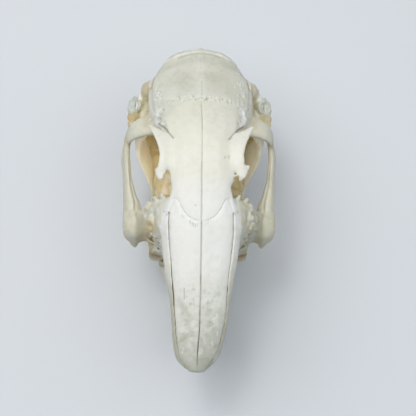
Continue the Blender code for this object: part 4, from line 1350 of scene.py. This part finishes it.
def cheek_joint(bm, side):
    """Fill the joint of the arch and the cheek plate."""
    egg(bm, (side * 18.4, 43.6, 35.3), (2.5, 4.4, 4.1))


def shape_arches():
    """Bars under the eyes, with a sharp upper crease and hollowed sides."""
    for word, side in SIDES.items():
        node = f"zygomatic_arch_{word}"
        bm = cad_copy(node)
        cheek_joint(bm, side)
        bone = start_bone(node, bm, sizes().fine_voxel)
        bone.ready()
        bone.crest(mirrored(((21.6, 50, 35.0), (22.0, 56, 34.4), (21.6, 63, 34.8)), side), 2.0, -0.35)
        bone.crest(mirrored(((17.6, 51, 34.6), (18.6, 56, 34.2), (19.0, 62, 34.6)), side), 2.0, -0.3)
        bone.color[:] = colors().bone
        cheek(bone, side)
        bone.paint("grey", 0.3 * fade(bone.points[:, 1], 56, 59))
        bone.wear = 0.35
        bone.finish("thin_dry_bone")


def shape_ears():
    """Ear capsules with their tubes."""
    for word, side in SIDES.items():
        node = f"tympanic_bulla_{word}"
        bm = cad_copy(node)
        for x, s, h, r in ((18.2, 75.8, 36.4, 1.2), (18.9, 74.6, 36.6, 1.35), (19.2, 73.2, 36.5, 1.25),
                           (19.0, 72.0, 36.4, 1.0)):
            egg(bm, (side * x, s, h), (r, r * 1.15, r * 0.9))
        bone = start_bone(node, bm, sizes().fine_voxel * 1.2)
        bone.ready()
        bone.uneven(3.0, 0.22)
        bone.uneven(1.3, 0.12)
        bone.dent((side * 18.9, 75.0, 37.8), 0.9, 0.35)
        bone.dent((side * 19.4, 73.4, 37.7), 1.0, 0.4)
        x, s, h = bone.points.T
        tip = fade(np.abs(x), 15.5, 17)
        bone.paint("cream", 0.3)
        bone.paint("grey", 0.25)
        bone.paint("grey", 0.5 * tip)
        bone.paint("glassy", 0.5 * tip)
        bone.paint("olive", 0.4 * tip * fade(noise(bone.points, 1.4, 2), -0.2, 0.5))
        bone.paint("ochre", 0.15 * fade(h, 36, 30))
        bone.wear = 0.4
        bone.finish("thin_dry_bone")


def shape_sphenoid():
    """Base of the braincase, the wall between the eyes and the floor of the eye sockets."""
    node = "sphenoid"
    bm = cad_copy(node)
    for side in (-1, 1):
        egg(bm, (side * 8.0, 51.0, 28.0), (4.4, 4.8, 5.0))
        egg(bm, (side * 5.5, 56.0, 31.0), (4.0, 5.0, 5.5))
        egg(bm, (side * 8.6, 61.5, 30.5), (3.4, 4.2, 5.0))
        for x, s, h in ((11.9, 64.6, 29.5), (11.1, 61.8, 28.5), (10.6, 58.6, 28.0), (10.5, 55.4, 28.0),
                        (10.6, 52.4, 27.5)):
            egg(bm, (side * x, s, h), (2.2, 2.4, 5.6))
    bone = start_bone(node, bm)
    bone.ready()
    eye = fade(np.abs(bone.points[:, 0]), 3.5, 5.5)
    bone.smooth(110, eye)
    bone.uneven(4.5, 0.5, eye)
    bone.crumple(3.4, 0.5, eye)
    bone.uneven(1.6, 0.14)
    x, s, h = bone.points.T
    tone = noise(bone.points, 3.4, 9)
    bone.color[:] = colors().bone
    bone.paint("cream", 0.5)
    bone.paint("ochre", 0.8 * fade(h, 22, 27) * fade(np.abs(x), 2.5, 4))
    bone.paint("tan", 0.75 * fade(tone, 0.15, 0.5))
    bone.paint("amber", 0.5 * fade(-tone, 0.1, 0.5) * fade(h, 22, 27))
    # Painted shade: amber in the pressed creases
    bone.paint("amber", 0.5 * (1 - np.abs(noise(bone.points, 3.4, 11))) ** 5 * fade(h, 22, 27))
    bone.wear = 0.4
    bone.finish(slot="bone_base")


def shape_maxillae():
    """Cheeks with the snout's lattice, the ragged rim before the eye and the blocks for the teeth."""
    rims = {"left": ((-8.3, 44.9, 47.6, 0.8), (-10.4, 44.6, 47.4, 0.9), (-12.2, 44.1, 46.4, 0.8),
                     (-13.9, 43.2, 45.0, 0.8), (-14.6, 41.9, 44.6, 0.8), (-13.2, 40.6, 46.2, 0.7)),
            "right": ((8.2, 45.0, 47.6, 0.8), (10.2, 44.4, 47.4, 0.8), (12.4, 44.0, 46.2, 0.9),
                      (13.6, 42.6, 45.2, 0.8), (14.4, 41.2, 44.6, 0.7), (12.8, 39.8, 46.4, 0.8))}
    front, back, low, high = LATTICE_REACH
    rng = np.random.default_rng(31)

    def no_teeth(points):
        points[:, 2] = np.maximum(points[:, 2], UPPER_GUM - 0.2)
        return points

    for word, side in SIDES.items():
        node = f"maxilla_{word}"
        bm = cad_copy(node, no_teeth)
        for x, s, h, r in rims[word]:
            egg(bm, (x, s, h), (r, r, r * 1.3))
        cheek_joint(bm, side)
        bone = start_bone(node, bm, sizes().fine_voxel * 1.1)
        x, s, h = bone.points.T
        limit = 9.1 + 13 * fade(s, 32.2, 35.6) + 6 * fade(h, 35, 39)
        bone.points[:, 0] = side * np.where(side * x < 15.2, np.minimum(side * x, limit), side * x)
        x, s, h = bone.points.T
        bed = (fade(s, front - 0.8, front + 1.2) * fade(s, back + 0.5, back - 1.5)
               * fade(h, low - 0.6, low + 1) * fade(h, high + 0.8, high - 1)
               * fade(side * bone.normals()[:, 0], 0.15, 0.45) * fade(np.abs(x), 13.8, 12.6)
               * fade(np.abs(x), 5.0, 6.5))
        bone.push(-bed * sizes().lattice_depth * 1000)
        bone.store()
        shell = bmesh.new()
        shell.from_mesh(bone.obj.data)
        shell.from_mesh(lattice_bars(node, side))
        tube(shell, mirrored(((12.8, 39.2, 46.0), (12.1, 37.4, 45.9), (11.3, 35.6, 45.8),
                              (10.5, 33.8, 45.8)), side), (0.7, 1.0, 1.0, 0.8))
        plain = cad_tree([node])
        for _ in range(46):
            s = rng.uniform(32, 42.5)
            h = rng.uniform(40, 46)
            hit = plain.ray_cast(Vector((side * OUTSIDE, s, h)), Vector((-side, 0, 0)), 9.0)
            if hit[0] is not None:
                r = rng.uniform(0.3, 0.65)
                egg(shell, hit[0], (r, r * rng.uniform(0.7, 1.5), r))
        bone.take(mesh_from(shell, node, outward=False))
        bone.remesh(sizes().fine_voxel * 1.1)
        bone.points = averaged(bone.points, bone.edges, 3)
        depth = np.zeros(len(bone.points))
        for i in np.nonzero((bone.points[:, 1] < back + 1) & (np.abs(bone.points[:, 0]) > 5))[0]:
            hit = plain.find_nearest(Vector(bone.points[i]), 3.0)
            if hit[0] is not None and (Vector(bone.points[i]) - hit[0]).dot(hit[1]) < 0:
                depth[i] = hit[3]
        bone.ready()
        x, s, h = bone.points.T
        out = np.abs(x)
        gum = fade(h, 31, 27.5)
        wall = fade(out, 6, 8.5) * fade(s, 22, 25) * fade(h, 32, 35)
        plate = fade(out, 14.2, 15.6) * fade(h, 46.5, 44)
        ragged = fade(out, 10.2, 11.5) * fade(s, 31, 33) * fade(s, 45, 43) * fade(h, 37, 40)
        spots = noise(bone.points, 1.2, 9)
        bone.color[:] = colors().bone
        bone.paint("cream", 0.3)
        bone.paint("grey", 0.35 * wall + 0.25 * ragged)
        # Painted shade: olive and ochre deepen as the bed of the lattice sinks below the plain surface
        bone.paint("olive", 0.75 * fade(depth, 0.4, 1.0))
        bone.paint("ochre", 0.35 * fade(depth, 0.8, 1.3))
        bone.paint("ochre", ragged * 0.4 * fade(spots, 0.1, 0.6))
        bone.paint("white", ragged * 0.4 * fade(-spots, 0.0, 0.5) * fade(depth, 0.8, 0.3))
        bone.paint("ochre", 0.3 * gum * fade(s, 29, 31))
        block = fade(out, 9.5, 12) * fade(h, 36, 33) * fade(s, 39, 37)
        bone.paint("olive", 0.50 * block)
        bone.paint("ochre", 0.7 * block * fade(out, 11.5, 13.5))
        bone.paint("tan", 0.35 * block * fade(out, 13.0, 11.5))
        # Painted shade: olive on the right side wall only
        bone.paint("olive", (0.32 if side > 0 else 0.0) * wall * fade(out, 9.5, 11.5))
        bone.paint("amber", 0.6 * fade(s, 44.5, 46.5) * fade(h, 45, 42) * fade(out, 15, 13))
        before = bone.color.copy()
        cheek(bone, side)
        bone.color = before + (bone.color - before) * plate[:, None]
        if side < 0:
            bone.paint("ochre", 0.75 * np.exp(-((out - 14.0) / 1.8) ** 2 - ((s - 36.2) / 2.4) ** 2))
        bone.wear = 0.3 + 0.2 * plate
        bone.finish(slot="bone_base")


def shape_mandibles():
    """Lower jaw halves, with thin hollowed plates at the back."""
    def no_teeth(points):
        row = (points[:, 1] < 48.0) & (points[:, 1] > 30.0)
        points[row, 2] = np.minimum(points[row, 2], LOWER_GUM + 0.1)
        return points

    for word, side in SIDES.items():
        node = f"mandible_{word}"
        bone = start_bone(node, cad_copy(node, no_teeth))
        s, h = bone.points.T[1:]
        bone.points[:, 0] -= side * 1.3 * fade(h, 13, 22) * fade(h, 36, 27) * fade(s, 49, 53)
        bone.ready(0.0)
        bone.color[:] = colors().bone
        s, h = bone.points.T[1:]
        hollow = np.exp(-((s - 60.5) / 6.5) ** 2 - ((h - 10.5) / 6.0) ** 2)
        upper = np.exp(-((s - 60.5) / 3.4) ** 2 - ((h - 27.5) / 8.0) ** 2)
        bone.push(-0.42 * hollow - 0.28 * upper)
        bone.dent((side * 5.4, 21.5, 10.2), 1.0, 0.9)
        bone.dent((side * 5.6, 24.0, 9.4), 0.6, 0.5)
        bone.crest(mirrored(((13.0, 49.5, 9), (13.6, 55, 3.0), (13.6, 62, 1.0), (13.4, 68, 3.0),
                             (13.2, 71, 8.0)), side), 1.3, 0.35)
        s, h = bone.points.T[1:]
        bone.paint("cream", 0.45)
        # Painted shade: the right jaw's rear plates get less tan and more grey than the left's
        bone.paint("tan", (0.8 if side < 0 else 0.4) * fade(s, 47, 54))
        bone.paint("grey", (0.0 if side < 0 else 0.5) * fade(s, 47, 54) * fade(h, 20, 26))
        bone.paint("ochre", 0.25 * fade(bone.blocked, 0.6, 0.95) * fade(s, 52, 46))
        # Painted glow on the upper rear plates
        bone.painted_glow = np.maximum(bone.painted_glow, (0.10 + 0.09 * fade(h, 26, 36)) * fade(h, 17, 24) * fade(s, 49, 53))
        bone.wear = 0.2
        bone.finish("thin_jaw_bone")


def shape_front_teeth():
    """Grooved upper incisors with the small peg teeth behind them, and the lower incisors."""
    for sort in ("upper_incisor", "peg_tooth", "lower_incisor"):
        for word, side in SIDES.items():
            node = f"{sort}_{word}"
            tooth = Sculpt(node, cad_copy(node), sizes().fine_voxel * 0.7, "tooth")
            tooth.relax(24, 0.15)
            if sort == "upper_incisor":
                facing = fade(-tooth.normals()[:, 1], 0.3, 0.8)
                x = tooth.points[:, 0] - side * INCISOR_GROOVE
                tooth.push(-0.30 * facing * np.exp(-(x / 0.22) ** 2))
            h = tooth.points[:, 2]
            root = fade(h, 22.5, 27) if sort != "lower_incisor" else fade(h, 17, 12.5)
            tooth.wear = 0.10 + 0.5 * root
            tooth.finish("incisor", "tooth")


def shape_cheek_teeth():
    """Upper and lower rows of ridged cheek teeth."""
    for word, side in SIDES.items():
        tooth_row(f"upper_cheek_teeth_{word}", UPPER_CHEEK, side, UPPER_GUM + 2.2, BITE_HEIGHT + 0.15,
                  f"maxilla_{word}")
        tooth_row(f"lower_cheek_teeth_{word}", LOWER_CHEEK, side, LOWER_GUM - 2.2, BITE_HEIGHT - 0.15,
                  f"mandible_{word}")


def set_stage():
    """Pale floor, soft light and the camera of the photograph."""
    scene = bpy.context.scene
    stage = scene.skull_stage
    half = stage.floor_size / 2
    mesh = bpy.data.meshes.new("floor")
    mesh.from_pydata([(-half, -half, 0), (half, -half, 0), (half, half, 0), (-half, half, 0)], [],
                     [(0, 1, 2, 3)])
    f = Finish("display_floor")
    tone = tuple(colors().floor)
    color = f.mix(f.noise(60.0), tone, tuple(np.multiply(tone, (0.97, 0.98, 1.0))))
    mesh.materials.append(f.done(color, 0.85, f.noise(0.8), 0.00002, 0.2))
    add_object("floor", mesh)

    for name, place, energy, size, color in (
            ("key", (-0.165, 0.10, 0.75), stage.key_power, 0.2, (1.0, 0.99, 0.97)),
            ("left", (-0.32, 0.12, 0.78), stage.left_power, 0.9, (1.0, 0.995, 0.985)),
            ("top", (0, 0, 0.9), stage.top_power, 1.2, (1.0, 1.0, 1.0)),
            ("right", (0.38, 0.02, 0.68), stage.right_power, 0.8, (0.95, 0.98, 1.0))):
        data = bpy.data.lights.new(name, "AREA")
        data.shape = "DISK"
        data.size = size
        data.energy = energy
        data.color = color
        lamp = add_object(name, data)
        lamp.location = place
        lamp.rotation_euler = (Vector((0, 0, 0.03)) - Vector(place)).to_track_quat("-Z", "Y").to_euler()

    scene.world = bpy.data.worlds.new("sky")
    scene.world.use_nodes = True
    background = scene.world.node_tree.nodes["Background"]
    background.inputs["Color"].default_value = (0.86, 0.92, 1.0, 1.0)
    background.inputs["Strength"].default_value = stage.sky
    scene.view_settings.view_transform = "Standard"

    data = bpy.data.cameras.new("camera")
    data.sensor_width = 36.0
    data.lens = stage.lens
    data.clip_start = 0.01
    scene.camera = add_object("camera", data)
    scene.camera.location = CAMERA_PLACE
    scene.camera.rotation_euler = [math.radians(angle) for angle in CAMERA_TURN]


# Operators, one for each bone or pair


class SKULL_OT_stage(bpy.types.Operator):
    """Set up the floor, the light and the camera"""

    bl_idname = "skull.stage"
    bl_label = "Stage"

    def execute(self, context):
        set_stage()
        return {"FINISHED"}


class SKULL_OT_nasals(bpy.types.Operator):
    """Build the nasal bones"""

    bl_idname = "skull.nasals"
    bl_label = "Nasal Bones"

    def execute(self, context):
        shape_nasals()
        return {"FINISHED"}


class SKULL_OT_premaxillae(bpy.types.Operator):
    """Build the premaxillae"""

    bl_idname = "skull.premaxillae"
    bl_label = "Premaxillae"

    def execute(self, context):
        shape_premaxillae()
        return {"FINISHED"}


class SKULL_OT_frontals(bpy.types.Operator):
    """Build the frontal bones with the wings over the eyes"""

    bl_idname = "skull.frontals"
    bl_label = "Frontal Bones"

    def execute(self, context):
        shape_frontals()
        return {"FINISHED"}


class SKULL_OT_parietals(bpy.types.Operator):
    """Build the parietal bones"""

    bl_idname = "skull.parietals"
    bl_label = "Parietal Bones"

    def execute(self, context):
        shape_parietals()
        return {"FINISHED"}


class SKULL_OT_occipital(bpy.types.Operator):
    """Build the occipital bone"""

    bl_idname = "skull.occipital"
    bl_label = "Occipital Bone"

    def execute(self, context):
        shape_occipital()
        return {"FINISHED"}


class SKULL_OT_temporals(bpy.types.Operator):
    """Build the temporal bones"""

    bl_idname = "skull.temporals"
    bl_label = "Temporal Bones"

    def execute(self, context):
        shape_temporals()
        return {"FINISHED"}


class SKULL_OT_maxillae(bpy.types.Operator):
    """Build the maxillae with their lattice"""

    bl_idname = "skull.maxillae"
    bl_label = "Maxillae"

    def execute(self, context):
        shape_maxillae()
        return {"FINISHED"}


class SKULL_OT_sphenoid(bpy.types.Operator):
    """Build the sphenoid"""

    bl_idname = "skull.sphenoid"
    bl_label = "Sphenoid"

    def execute(self, context):
        shape_sphenoid()
        return {"FINISHED"}


class SKULL_OT_arches(bpy.types.Operator):
    """Build the zygomatic arches"""

    bl_idname = "skull.arches"
    bl_label = "Zygomatic Arches"

    def execute(self, context):
        shape_arches()
        return {"FINISHED"}


class SKULL_OT_ears(bpy.types.Operator):
    """Build the ear capsules"""

    bl_idname = "skull.ears"
    bl_label = "Ear Capsules"

    def execute(self, context):
        shape_ears()
        return {"FINISHED"}


class SKULL_OT_mandibles(bpy.types.Operator):
    """Build the two halves of the lower jaw"""

    bl_idname = "skull.mandibles"
    bl_label = "Lower Jaw"

    def execute(self, context):
        shape_mandibles()
        return {"FINISHED"}


class SKULL_OT_cheek_teeth(bpy.types.Operator):
    """Build the rows of cheek teeth"""

    bl_idname = "skull.cheek_teeth"
    bl_label = "Cheek Teeth"

    def execute(self, context):
        shape_cheek_teeth()
        return {"FINISHED"}


class SKULL_OT_front_teeth(bpy.types.Operator):
    """Build the incisors and peg teeth"""

    bl_idname = "skull.front_teeth"
    bl_label = "Front Teeth"

    def execute(self, context):
        shape_front_teeth()
        return {"FINISHED"}


OPERATORS = (SKULL_OT_stage, SKULL_OT_nasals, SKULL_OT_premaxillae, SKULL_OT_frontals, SKULL_OT_parietals,
             SKULL_OT_occipital, SKULL_OT_temporals, SKULL_OT_maxillae, SKULL_OT_sphenoid, SKULL_OT_arches,
             SKULL_OT_ears, SKULL_OT_mandibles, SKULL_OT_cheek_teeth, SKULL_OT_front_teeth)


class SKULL_PT_panel(bpy.types.Panel):
    """Sizes, colours and pieces of the skull"""

    bl_idname = "SKULL_PT_panel"
    bl_label = "Rabbit Skull"
    bl_space_type = "VIEW_3D"
    bl_region_type = "UI"
    bl_category = "Skull"

    def draw(self, context):
        for settings in (context.scene.skull_sizes, context.scene.skull_colors, context.scene.skull_stage):
            box = self.layout.box()
            for key in type(settings).__annotations__:
                box.prop(settings, key)
        for operator in OPERATORS:
            self.layout.operator(operator.bl_idname)


CLASSES = (SkullSizes, SkullColors, SkullStage, *OPERATORS, SKULL_PT_panel)


def register():
    for cls in CLASSES:
        bpy.utils.register_class(cls)
    bpy.types.Scene.skull_sizes = bpy.props.PointerProperty(type=SkullSizes)
    bpy.types.Scene.skull_colors = bpy.props.PointerProperty(type=SkullColors)
    bpy.types.Scene.skull_stage = bpy.props.PointerProperty(type=SkullStage)


def unregister():
    del bpy.types.Scene.skull_sizes
    del bpy.types.Scene.skull_colors
    del bpy.types.Scene.skull_stage
    for cls in reversed(CLASSES):
        bpy.utils.unregister_class(cls)


def main():
    """Build the stage and every piece."""
    register()
    for operator in OPERATORS:
        group, name = operator.bl_idname.split(".")
        getattr(getattr(bpy.ops, group), name)()


if __name__ == "__main__":
    main()
